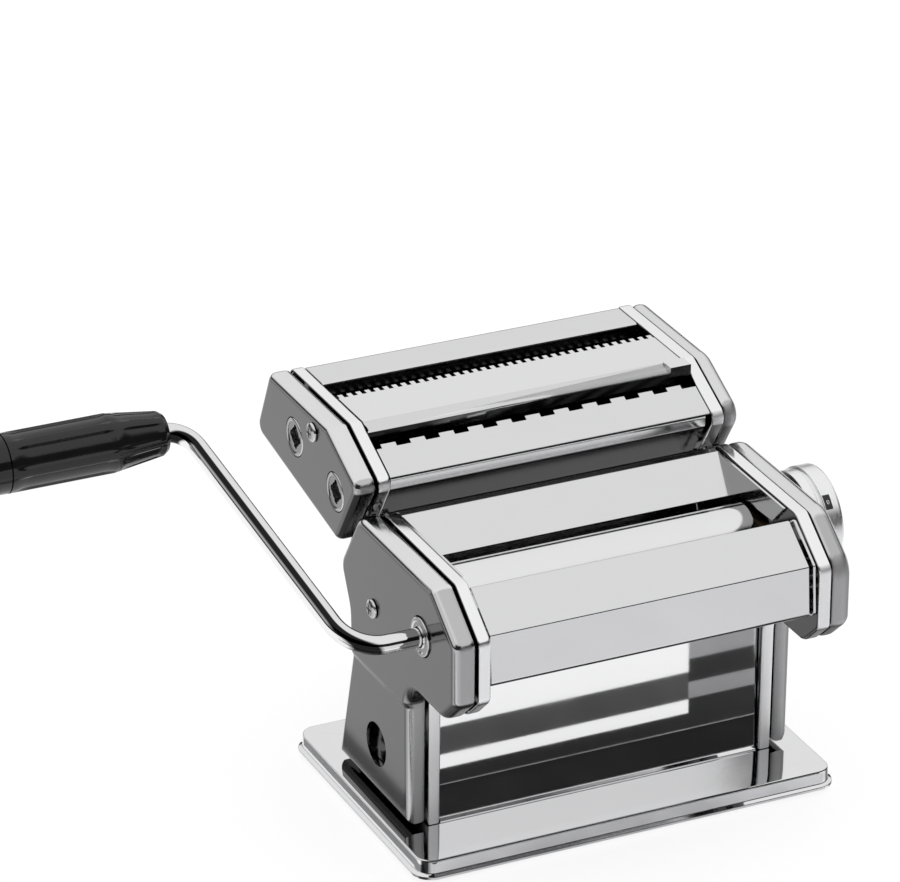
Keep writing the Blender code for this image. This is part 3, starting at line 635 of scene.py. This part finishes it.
def cover_mesh(outline, side, radius, holes, step=None, face=COVER_FACE):
    """A drawn cover: a rolled-in rim, a straight wall and a rounded turn into the face."""
    stations = [(79.1, 2.3), (79.25, 1.6), (79.7, 0.9), (80.4, 0.4), (81.3, 0.1), (82.3, 0.0)]
    stations += round_over(face, 0.0, radius, 8)
    mesh = loft(rings_along_x(outline, stations, side), False, True)
    if step:
        pressed_step(mesh, side, *step)
    mesh = solidify(mesh, 1.0)
    ends = span(side, face - 5.0, COVER_FACE + 4.0)
    cutters = [cylinder(radius_, *ends, y, z) for y, z, radius_ in holes]
    return boolean(mesh, cutters)


def frame_mesh(outline, side, cutters):
    """A pressed plate with a flange that turns outward."""
    stations = [(78.5, 0.55), (78.35, 0.2), (77.9, 0.0), (74.2, 0.0), (73.6, 0.18), (73.2, 0.6),
                (73.0, 1.3)]
    mesh = solidify(loft(rings_along_x(outline, stations, side), False, True), 1.2)
    return boolean(mesh, cutters)


def bar(y_low, z_low, y_high, z_high):
    return [(y_low, z_low), (y_high, z_low), (y_high, z_high), (y_low, z_high)]


def web_hole(side, y, z, radius):
    return cylinder(radius, *span(side, *FRAME_WEB), y, z)


def build_main_sides():
    for label, side in SIDES:
        slot = prism([bar(-35.8, 97.8, -9.95, 114.4)], *span(side, *FRAME_WEB))
        cutters = [web_hole(side, FRONT_Y, ROLLER_Z, 7.3), slot, web_hole(side, *TIE_UPPER, 2.8),
                   web_hole(side, *TIE_LOWER, 2.8)]
        holes = [(*TIE_UPPER, 2.1)]
        if side < 0:
            cutters.append(web_hole(side, *CLAMP_HOLE))
            holes += [(FRONT_Y, ROLLER_Z, 8.7), CLAMP_HOLE]
            top, rounding = MAIN_TOP, 3.9
        else:
            holes.append((REAR_Y, ROLLER_Z, 4.3))
            top, rounding = MAIN_RIGHT, 5.4
        plate = frame_mesh(main_outline(MAIN_FRAME_FOOT), side, cutters)
        piece("sheet_" + label + "_side_frame", plate, FRAME_SHEET[side], "machine",
              (label + "_side_frame",))
        cover = cover_mesh(main_outline(MAIN_COVER_FOOT, top), side, rounding, holes, COVER_STEP)
        piece("pressed_" + label + "_cover", cover, COVER_CHROME[side], "machine",
              (label + "_cover",))


def partner(axis):
    """The rear roller's axis of a cutter pair, from its front one."""
    return (axis[0] + CUTTER_SPACING * math.cos(TILT), axis[1] + CUTTER_SPACING * math.sin(TILT))


def slope_matrix(side):
    """Places a tongue's section, drawn as (across, out), on the rear slope."""
    up = Vector((0.0, -0.53, 0.848)).normalized()
    out = Vector((0.0, 0.848, 0.53)).normalized()
    across = Vector((1.0, 0.0, 0.0))
    origin = Vector((side * 75.8, 19.75, 117.5))
    rows = [[across[k], out[k], up[k], origin[k]] for k in range(3)]
    return Matrix(rows + [[0.0, 0.0, 0.0, 1.0]])


def build_cutter_sides():
    axes = (WIDE_FRONT, partner(WIDE_FRONT), FINE_FRONT, partner(FINE_FRONT))
    tongue = [(-2.8, 1.7), (2.8, 1.7), (2.8, 3.0), (1.2, 3.0), (1.2, 5.9), (-1.2, 5.9),
              (-1.2, 3.0), (-2.8, 3.0)]
    for label, side in SIDES:
        cutters = [web_hole(side, y, z, 4.3) for y, z in axes]
        cutters.append(web_hole(side, *CUTTER_TIE, 1.8))
        mesh = frame_mesh(rounded(CUTTER_TOP), side, cutters)
        slider = prism([tongue], -8.0, 8.0, 0.15, slope_matrix(side))
        piece("sheet_cutter_" + label + "_frame", joined([mesh, slider]), FRAME_SHEET[side],
              "cutter_head", ("cutter_" + label + "_frame",))
        holes = [(*CUTTER_TIE, 2.1)]
        if side < 0:
            holes += [(*WIDE_FRONT, 8.6), (*FINE_FRONT, 8.6)]
            cover = cover_mesh(rounded(CUTTER_TOP), side, 3.4, holes)
        else:
            cover = cover_mesh(rounded(CUTTER_RIGHT), side, 4.3, holes, face=CUTTER_RIGHT_FACE)
        piece("pressed_cutter_" + label + "_cover", cover, COVER_CHROME[side], "cutter_head",
              ("cutter_" + label + "_cover",))


# Base

def build_base():
    corner = 9.0
    left, right, front, back = -95.5, 96.5, -64.5, 62.5
    outline = rounded(((left, front, corner), (left, back, corner), (right, back, corner),
                       (right, front, corner)), 14)
    profile = fillets([(2.4, 0.0), (3.5, 0.0, 0.35), (4.3, 1.7, 0.5), (10.1, 1.9, 0.9),
                       (10.2, 9.0)], 6)
    rings = [[(x, y, z) for x, y in offset_closed(outline, inset)] for z, inset in profile]
    mesh = solidify(loft(rings, False, True), 1.2)
    piece("base_deck", mesh, DECK, "machine", ("base_plate",))


def build_feet():
    for label in ("front_left", "front_right", "back_left", "back_right"):
        low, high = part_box("foot_" + label)
        x = (low[0] + high[0]) / 2 / MM - SHIFT.x
        y = (low[1] + high[1]) / 2 / MM - SHIFT.y
        profile = fillets([(0.0, 0.0), (0.0, 5.4, 0.3), (0.5, 5.9, 0.4), (4.0, 5.6), (8.7, 5.4),
                           (8.7, 0.0)], 3)
        foot = turned(profile, 0.0, 0.0, 32)
        foot.transform(Matrix.Translation((x, y, 0.0)) @ Matrix.Rotation(-math.pi / 2, 4, "Y"))
        piece("rubber_foot_" + label, foot, RUBBER, "machine", ("foot_" + label,))


# Panels

def sheet_piece(name, corners, material, body, node):
    """A folded sheet across the machine, its thickness to the right of travel."""
    outline = sheet(rounded_path(corners), -PANEL_SHEET)
    mesh = prism([outline], -PANEL_HALF, PANEL_HALF, 0.25)
    piece(name, mesh, material, body, (node,))


def build_panels():
    front = [(-57.6, 126.7, 0), (-61.0, 129.4, 1.6), (-79.0, 116.5, 1.3), (-80.9, 94.4, 2.6),
             (-71.5, 92.6, 0)]
    outline = sheet(rounded_path(front), PANEL_SHEET)
    parts = [prism([outline], -PANEL_HALF, 69.3, 0.25), prism([outline], 71.2, 72.3, 0.2)]
    piece("folded_front_panel", joined(parts), PANEL, "machine", ("front_panel",))
    leg = [(-35.3, 10.7, 0), (-33.9, 11.7, 1.0), (-32.4, 88.0, 0)]
    sheet_piece("folded_leg_panel", leg, MIRROR, "machine", "leg_panel")
    rear = [(8.2, 130.9, 0), (12.6, 129.2, 1.5), (27.0, 103.8, 4.0), (18.9, 86.4, 8.0),
            (17.9, 68.0, 12.0), (30.6, 11.0, 0)]
    sheet_piece("folded_rear_panel", rear, PANEL, "machine", "rear_panel")


def build_hopper():
    plate = sheet(rounded_path([(7.4, 130.9, 0), (4.6, 130.7, 1.2), (-14.6, 120.0, 0)]), 0.9)
    wing = [(5.6, 130.4), (-14.2, 119.2), (-43.5, 120.6), (-52.5, 130.2)]
    parts = [prism([plate], -71.9, 71.9, 0.2), prism([wing], -72.6, -71.5, 0.15),
             prism([wing], 71.5, 72.6, 0.15)]
    piece("folded_hopper", joined(parts), HOPPER, "machine", ("hopper",))


def notched_plate(corners, notch_boxes):
    mesh = prism([sheet(rounded_path(corners), PANEL_SHEET)], -PANEL_HALF, PANEL_HALF, 0.12)
    return boolean(mesh, [joined(notch_boxes)])


def block(x, y, z):
    """A box from its (low, high) ranges."""
    work = bmesh.new()
    bmesh.ops.create_cube(work, size=1.0)
    size = Matrix.Diagonal((x[1] - x[0], y[1] - y[0], z[1] - z[0], 1.0))
    centre = Matrix.Translation(((x[0] + x[1]) / 2, (y[0] + y[1]) / 2, (z[0] + z[1]) / 2))
    bmesh.ops.transform(work, matrix=centre @ size, verts=work.verts)
    mesh = bpy.data.meshes.new("block")
    work.to_mesh(mesh)
    work.free()
    return mesh


def notches(first, pitch, tooth, count, y, z):
    """The gaps between a row of teeth."""
    half = (pitch - tooth) / 2
    middles = [first - pitch / 2 + pitch * k for k in range(count + 1)]
    return [block((x - half, x + half), y, z) for x in middles]


def build_cutter_plates():
    back = [(80.4, 151.6, 0), (80.4, 157.2, 1.4), (98.9, 157.2, 3.5), (110.6, 130.9, 0)]
    sheet_piece("folded_cutter_back_plate", back, PANEL, "cutter_head", "cutter_back_plate")
    centre = [(67.4, 157.2, 0), (40.7, 157.2, 0.8), (35.2, 154.5, 0.9), (34.8, 150.2, 0)]
    fine = notches(FINE_FIRST, FINE_PITCH, 2.1, FINE_TEETH, (64.5, 68.0), (155.0, 159.0))
    fine.append(block((64.0, 73.5), (33.0, 40.2), (148.0, 158.0)))
    piece("toothed_centre_plate", notched_plate(centre, fine), LIPPED, "cutter_head",
          ("cutter_centre_plate",))
    front = [(28.9, 151.5, 0), (13.4, 144.0, 3.0), (13.9, 138.2, 3.0), (29.6, 113.2, 0)]
    wide = notches(WIDE_FIRST, WIDE_PITCH, 6.6, WIDE_TEETH, (27.0, 31.0), (148.0, 154.0))
    wide.append(block((70.4, 73.5), (10.0, 24.0), (110.0, 143.4)))
    piece("toothed_front_plate", notched_plate(front, wide), PANEL, "cutter_head",
          ("cutter_front_plate",))


# Rollers

def build_rollers():
    ends = [(77.0, 0.0), (77.0, 5.0, 0.4), (ROLLER_HALF, 5.0), (ROLLER_HALF, ROLLER_RADIUS, 0.5),
            (-ROLLER_HALF, ROLLER_RADIUS, 0.5)]
    front = fillets(ends + [(-ROLLER_HALF, 6.0), (-82.5, 6.0, 0.4), (-82.5, 4.4), (-70.6, 4.4),
                            (-70.6, 0.0)])
    rear = fillets(ends + [(-ROLLER_HALF, 5.0), (-82.5, 5.0, 0.4), (-82.5, 0.0)])
    piece("smooth_front_roller", turned(front, FRONT_Y, ROLLER_Z, 96), ROLLER, "drive",
          ("front_roller",))
    piece("smooth_rear_roller", turned(rear, REAR_Y, ROLLER_Z, 96), ROLLER, "driven",
          ("rear_roller",))


def ringed_roller(middles, width, ring, groove, chamfer):
    """The profile of a cutter: rings of one width, with grooves between them."""
    profile = [(77.0, 0.0), (77.0, 4.0), (72.0, 4.0), (72.0, groove)]
    for middle in sorted(middles, reverse=True):
        high, low = middle + width / 2, middle - width / 2
        profile += [(high, groove), (high, ring - chamfer), (high - chamfer, ring),
                    (low + chamfer, ring), (low, ring - chamfer), (low, groove)]
    return profile + [(-72.0, groove), (-72.0, 4.0), (-83.4, 4.0), (-83.4, 0.0)]


def build_cutter_rollers():
    wide = [WIDE_FIRST + WIDE_PITCH * k for k in range(WIDE_TEETH)]
    between_wide = [x + WIDE_PITCH / 2 for x in wide[:-1]]
    fine = [FINE_FIRST + FINE_PITCH * k for k in range(FINE_TEETH)]
    between_fine = [x + FINE_PITCH / 2 for x in fine[:-1]]
    plans = (
        ("wide_cutter_front", WIDE_FRONT, "wide_drive", between_wide, 6.3, 0.35),
        ("wide_cutter_rear", partner(WIDE_FRONT), "wide_driven", wide, 6.3, 0.35),
        ("fine_cutter_front", FINE_FRONT, "fine_drive", between_fine, 1.84, 0.15),
        ("fine_cutter_rear", partner(FINE_FRONT), "fine_driven", fine, 1.84, 0.15),
    )
    for name, (y, z), body, middles, width, chamfer in plans:
        profile = ringed_roller(middles, width, 9.6, 7.7, chamfer)
        piece("ringed_" + name, turned(profile, y, z, 64), BLACKENED, body,
              (name,))


# Crank

def bend(before, corner, after, radius, steps):
    """The arc that rounds the corner of a rod's path."""
    corner = Vector(corner)
    back = (Vector(before) - corner).normalized()
    on = (Vector(after) - corner).normalized()
    half = back.angle(on) / 2
    centre = corner + (back + on).normalized() * radius / math.sin(half)
    start = corner + back * radius / math.tan(half) - centre
    end = corner + on * radius / math.tan(half) - centre
    axis = start.cross(end).normalized()
    sweep = start.angle(end)
    return [tuple(centre + Matrix.Rotation(sweep * k / steps, 3, axis) @ start)
            for k in range(steps + 1)]


def grip_mesh():
    """A round handle whose barrel carries long shallow recessed flats."""
    flats = 6
    sides = 144
    profile = fillets([(GRIP_START, 6.6), (GRIP_START, 7.8, 1.2), (-158.6, 9.2, 1.5),
                       (-180.4, 12.2, 2.0), (-182.0, 12.2), (GRIP_END, 12.2)], 5)
    stations = []
    for (x0, r0), (x1, r1) in zip(profile, profile[1:]):
        pieces = max(1, int(abs(x1 - x0) / 1.6))
        stations += [(x0 + (x1 - x0) * k / pieces, r0 + (r1 - r0) * k / pieces)
                     for k in range(pieces)]
    stations.append(profile[-1])
    bore = circle(GRIP_Y, GRIP_Z, GRIP_BORE, sides)
    rings = [[(GRIP_START, y, z) for y, z in bore]]
    for x, radius in stations:
        along = unit((-x - 179.0) / 4.0) * unit((223.0 + x) / 4.0)
        neck = unit((-x - 158.5) / 3.0) * unit((178.0 + x) / 3.0)
        ring = []
        for k in range(sides):
            angle = 2 * math.pi * k / sides
            phase = (angle * flats / (2 * math.pi)) % 1.0
            mask = unit((0.36 - abs(phase - 0.5)) / 0.05)
            r = radius - 0.75 * mask * along - 0.5 * mask * neck
            ring.append((x, GRIP_Y + r * math.cos(angle), GRIP_Z + r * math.sin(angle)))
        rings.append(ring)
    rings.append([(GRIP_END, y, z) for y, z in bore])
    rings.append(rings[0])
    return weld(loft(rings, False, False))


def build_crank():
    start = (-71.2, FRONT_Y, ROLLER_Z)
    elbow = (-118.6, FRONT_Y, ROLLER_Z)
    top = (-147.6, GRIP_Y, GRIP_Z)
    end = (-221.0, GRIP_Y, GRIP_Z)
    path = [start] + bend(start, elbow, top, 19.0, 28) + bend(elbow, top, end, 13.0, 24) + [end]
    piece("bent_crank_rod", tube(path, 4.0, 10), ROD, "crank", ("crank_rod",))
    ring = fillets([(-83.0, 4.4), (-83.0, 8.2), (-89.9, 8.2, 0.5), (-90.4, 6.9, 0.5),
                    (-89.7, 6.1, 0.3), (-89.7, 4.9, 0.3), (-90.3, 4.4)], 3)
    piece("crank_socket_ring", turned(ring, FRONT_Y, ROLLER_Z, 64, True), TURNED, "drive",
          ("crank_socket",))
    piece("faceted_grip", grip_mesh(), GRIP, "grip", ("crank_grip",))
    cap = fillets([(-225.15, 0.0), (-225.15, 11.6), (-225.5, 12.1, 0.3), (-231.0, 12.0, 3.0),
                   (-234.2, 9.0, 2.5), (-234.5, 0.0)], 6)
    piece("grip_cap", turned(cap, GRIP_Y, GRIP_Z, 72), GRIP, "grip",
          ("grip_end_cap",))


# Knob

def digit(text, height, depth):
    """A number in the plain built-in face as a small solid."""
    curve = bpy.data.curves.new("digit", "FONT")
    curve.body = text
    curve.size = height
    curve.extrude = depth / 2
    curve.align_x = "CENTER"
    curve.align_y = "CENTER"
    return weld(evaluated_mesh(bpy.data.objects.new("digit", curve)), 0.0005)


def build_knob():
    profile = fillets([(106.3, 0.0), (106.4, 9.0, 3.0), (107.0, 12.0, 0.8), (106.6, 18.5, 2.0),
                       (104.6, 22.6, 1.2), (103.6, 22.9, 0.4), (97.4, 22.9, 0.5), (96.8, 21.6),
                       (95.9, 21.6), (95.2, 22.2, 0.4), (91.3, 21.9, 0.5), (91.3, 19.5),
                       (93.4, 19.5), (93.4, 4.4), (95.2, 4.4), (95.2, 9.0), (103.2, 9.0),
                       (103.2, 0.0)], 5)
    piece("stepped_knob", turned(profile, REAR_Y, ROLLER_Z, 128), KNOB, "knob",
          ("thickness_knob",))


def build_label():
    """A dark patch on the knob's rim with a number on it."""
    low, high, radius = 97.7, 101.0, 22.96
    outer = [(REAR_Y + radius * math.cos(a), ROLLER_Z + radius * math.sin(a))
             for a in [math.radians(LABEL_ANGLE - 8 + k) for k in range(17)]]
    inner = [(REAR_Y + (y - REAR_Y) * 0.985, ROLLER_Z + (z - ROLLER_Z) * 0.985) for y, z in outer]
    label = prism([outer + inner[::-1]], low, high, 0.08)
    piece("label_patch", label, LABEL, "knob")
    mark = digit("0", 2.6, 0.1)
    mark.transform(Matrix(((0, -1, 0, 0), (1, 0, 0, 0), (0, 0, 1, 0), (0, 0, 0, 1))))
    mark.transform(Matrix.Rotation(math.pi / 2, 4, "Z"))
    mark.transform(Matrix.Translation((0.0, 0.0, radius + 0.05)))
    mark.transform(Matrix.Rotation(math.radians(LABEL_ANGLE - 90.0), 4, "X"))
    mark.transform(Matrix.Translation(((low + high) / 2, REAR_Y, ROLLER_Z)))
    piece("label_number", mark, INK, "knob")


# Sockets, screws and rails

def star(y, z, inner, outer, lobes, steps):
    """The outline of a splined hole."""
    points = []
    for k in range(steps):
        angle = 2 * math.pi * k / steps
        lift = max(0.0, math.cos(lobes * angle)) ** 0.6
        radius = inner + (outer - inner) * lift
        points.append((y + radius * math.cos(angle), z + radius * math.sin(angle)))
    return points


def build_sockets():
    for name, (y, z), body in (("wide_socket", WIDE_FRONT, "wide_drive"),
                               ("fine_socket", FINE_FRONT, "fine_drive")):
        face = prism([circle(y, z, 6.9), star(y, z, 4.1, 5.4, 4, 96)], -88.7, -83.7, 0.15)
        rim = fillets([(-83.7, 6.85), (-83.7, 8.2), (-89.0, 8.2, 0.5), (-89.4, 7.5, 0.4),
                       (-89.0, 6.85, 0.3)], 3)
        mesh = joined([face, turned(rim, y, z, 64, True)])
        piece("splined_" + name, mesh, TURNED, body, (name,))


def screw_mesh(side, y, z, face):
    """Pan head with a cross recess."""
    profile = fillets([(91.0, 0.0), (91.0, 2.6, 1.0), (90.2, 4.0, 0.8), (89.3, 4.2, 0.2),
                       (89.3, 1.8), (81.0, 1.8), (81.0, 0.0)], 4)
    mesh = turned(profile, y, z, 40)
    cross = [block((90.1, 92.0), (y - 2.1, y + 2.1), (z - 0.4, z + 0.4)),
             block((90.1, 92.0), (y - 0.4, y + 0.4), (z - 2.1, z + 2.1))]
    mesh = boolean(mesh, cross)
    mesh.transform(Matrix.Translation((face - COVER_FACE, 0.0, 0.0)))
    return mirrored(mesh) if side < 0 else mesh


def build_screws():
    for label, side in SIDES:
        for node, place, body in (("_cover_screw", TIE_UPPER, "machine"),
                                  ("_cutter_screw", CUTTER_TIE, "cutter_head")):
            shallow = side > 0 and body == "cutter_head"
            face = CUTTER_RIGHT_FACE if shallow else COVER_FACE
            piece("cross_" + label + node, screw_mesh(side, *place, face), TURNED, body,
                  (label + node,))


def repaint_inner_nodes():
    plans = {
        GEAR: ("front_roller_gear", "rear_roller_gear", "wide_cutter_front_gear",
               "wide_cutter_rear_gear", "fine_cutter_front_gear", "fine_cutter_rear_gear",
               "upper_tie_rod", "lower_tie_rod", "cutter_tie_rod", "index_plate"),
        BRONZE: ("front_bush_left", "front_bush_right", "rear_bearing_left",
                 "rear_bearing_right"),
        SPRING: ("front_scraper", "rear_scraper", "wide_comb", "fine_comb", "index_pin",
                 "knob_spring", "knob_stem"),
        BRIGHT: ("left_cutter_rail", "right_cutter_rail"),
    }
    for material, nodes in plans.items():
        for node in nodes:
            repaint(node, material)


# Studio

def build_floor():
    work = bmesh.new()
    bmesh.ops.create_grid(work, x_segments=2, y_segments=2, size=9.0)
    mesh = bpy.data.meshes.new("floor")
    work.to_mesh(mesh)
    work.free()
    floor = bpy.data.objects.new("floor", mesh)
    bpy.context.scene.collection.objects.link(floor)
    made, nodes, links, shader = principled("floor_white")
    paper = noise(nodes, links, 220.0, 4.0)
    tone = mixed(nodes, links, paper.outputs["Fac"], (0.18, 0.18, 0.18), (0.20, 0.20, 0.20))
    links.new(tone, shader.inputs["Base Color"])
    shader.inputs["Roughness"].default_value = 0.9
    shader.inputs["Specular IOR Level"].default_value = 0.0
    shader.inputs["Emission Color"].default_value = (1.0, 1.0, 1.0, 1.0)
    shader.inputs["Emission Strength"].default_value = 0.84
    mesh.materials.append(made)


def build_flags():
    """Cards lying round the machine that only reflections see, in place of the edge of a light
    table and the dark studio beyond it. Each is (name, left, right, front, back, tone), its left
    and right counted from the slanted line through FLAG_CORNER."""
    cards = (("flag_wall", -400.0, 46.0, -79.0, -66.2, 0.66),
             ("flag_near", -400.0, 0.0, -92.0, -79.0, 0.02),
             ("flag_table_edge", -400.0, 0.0, -127.0, -104.0, 0.06),
             ("flag_right_near", 0.0, 33.0, -104.0, -79.0, 0.02),
             ("flag_right_grey", 0.0, 33.0, -118.0, -104.0, 0.24),
             ("flag_right_dark", 0.0, 33.0, -138.0, -118.0, 0.02),
             ("flag_right_far", 0.0, 33.0, -180.0, -138.0, 0.24),
             ("flag_floor", -900.0, 900.0, -1400.0, -180.0, 0.55))
    for name, left, right, front, back, tone in cards:
        mesh = block((left, right), (front, back), (0.3, 0.6))
        for vert in mesh.vertices:
            vert.co.x += FLAG_CORNER.x + FLAG_SLANT * (FLAG_CORNER.y - vert.co.y)
        add_flag(name, mesh, tone)
    add_flag("flag_left", block((-107.0, -98.5), (-66.0, 200.0), (0.3, 0.6)), 0.30)


def add_flag(name, mesh, tone):
    mesh.transform(Matrix.Scale(MM, 4) @ Matrix.Translation(SHIFT))
    card = bpy.data.objects.new(name, mesh)
    bpy.context.scene.collection.objects.link(card)
    mesh.materials.append(plastic(name, tone, 0.9))
    card.visible_camera = False
    card.visible_diffuse = False
    card.visible_shadow = False


def area_light(name, place, target, size, power):
    light = bpy.data.lights.new(name, "AREA")
    light.shape = "RECTANGLE"
    light.size, light.size_y = size
    light.energy = power
    item = bpy.data.objects.new(name, light)
    item.location = place
    away = Vector(place) - Vector(target)
    item.rotation_euler = away.to_track_quat("Z", "Y").to_euler()
    item.visible_glossy = False
    bpy.context.scene.collection.objects.link(item)


def ramp_node(nodes, links, source, stops):
    """A grey ramp through (position, value) stops."""
    made = nodes.new("ShaderNodeValToRGB")
    ramp = made.color_ramp
    ramp.elements[0].position, ramp.elements[1].position = stops[0][0], stops[-1][0]
    for element, (_, value) in zip((ramp.elements[0], ramp.elements[1]), (stops[0], stops[-1])):
        element.color = (value, value, value, 1.0)
    for position, value in stops[1:-1]:
        ramp.elements.new(position).color = (value, value, value, 1.0)
    links.new(source, made.inputs["Fac"])
    return made.outputs["Color"]


def build_world():
    """A white room, dark low down: dim studio in front, dark backdrop behind."""
    world = bpy.data.worlds.new("studio")
    bpy.context.scene.world = world
    world.use_nodes = True
    nodes, links = world.node_tree.nodes, world.node_tree.links
    background = nodes["Background"]
    place = nodes.new("ShaderNodeTexCoord")
    split = nodes.new("ShaderNodeSeparateXYZ")
    links.new(place.outputs["Generated"], split.inputs["Vector"])
    x, y, z = (split.outputs[axis] for axis in "XYZ")
    left = ramp_node(nodes, links, z,
                     ((0.0, 0.02), (0.62, 0.02), (0.72, 0.80), (0.80, 0.88), (1.0, 0.88)))
    right = ramp_node(nodes, links, z,
                      ((0.0, 0.02), (0.478, 0.02), (0.498, 0.80), (0.56, 0.88), (1.0, 0.88)))
    behind = ramp_node(nodes, links, z, ((0.0, 0.04), (0.16, 0.05), (0.30, 0.84), (1.0, 0.88)))
    # a grey wall low on the far right
    wall = computed(nodes, links, "MULTIPLY", spread(nodes, links, x, 0.0, 1.0, 0.4245, 0.4265),
                    spread(nodes, links, z, 1.0, 0.0, 0.54, 0.62))
    right = mixed(nodes, links, wall, right, (0.24, 0.24, 0.24), "DARKEN")
    front = mixed(nodes, links, spread(nodes, links, x, 0.0, 1.0, -0.15, 0.15), left, right)
    share = spread(nodes, links, y, 0.0, 1.0, -0.35, 0.25)
    links.new(mixed(nodes, links, share, front, behind), background.inputs["Color"])
    background.inputs["Strength"].default_value = 1.0


def build_camera():
    data = bpy.data.cameras.new("camera")
    data.sensor_width = 36.0
    data.lens = CAMERA_LENS
    data.clip_end = 60.0
    camera = bpy.data.objects.new("camera", data)
    ahead = math.cos(CAMERA_DOWN)
    forward = Vector((math.sin(CAMERA_AZIMUTH) * ahead, math.cos(CAMERA_AZIMUTH) * ahead,
                      -math.sin(CAMERA_DOWN)))
    level = Vector((math.cos(CAMERA_AZIMUTH), -math.sin(CAMERA_AZIMUTH), 0.0))
    upright = level.cross(forward)
    right = level * math.cos(CAMERA_ROLL) + upright * math.sin(CAMERA_ROLL)
    up = upright * math.cos(CAMERA_ROLL) - level * math.sin(CAMERA_ROLL)
    turn = Matrix((right, up, -forward)).transposed()
    place = (CAMERA_PLACE + SHIFT) * MM
    camera.matrix_world = Matrix.Translation(place) @ turn.to_4x4()
    bpy.context.scene.collection.objects.link(camera)
    bpy.context.scene.camera = camera


bpy.context.scene.view_settings.view_transform = "Standard"
build_camera()
build_world()
build_floor()
build_flags()
area_light("overhead", (0.1, 0.1, 1.7), (0.0, 0.0, 0.05), (2.4, 2.4), 20.0)
build_main_sides()
build_cutter_sides()
build_base()
build_feet()
build_panels()
build_hopper()
build_cutter_plates()
build_rollers()
build_cutter_rollers()
build_crank()
build_knob()
build_label()
build_sockets()
build_screws()
repaint_inner_nodes()
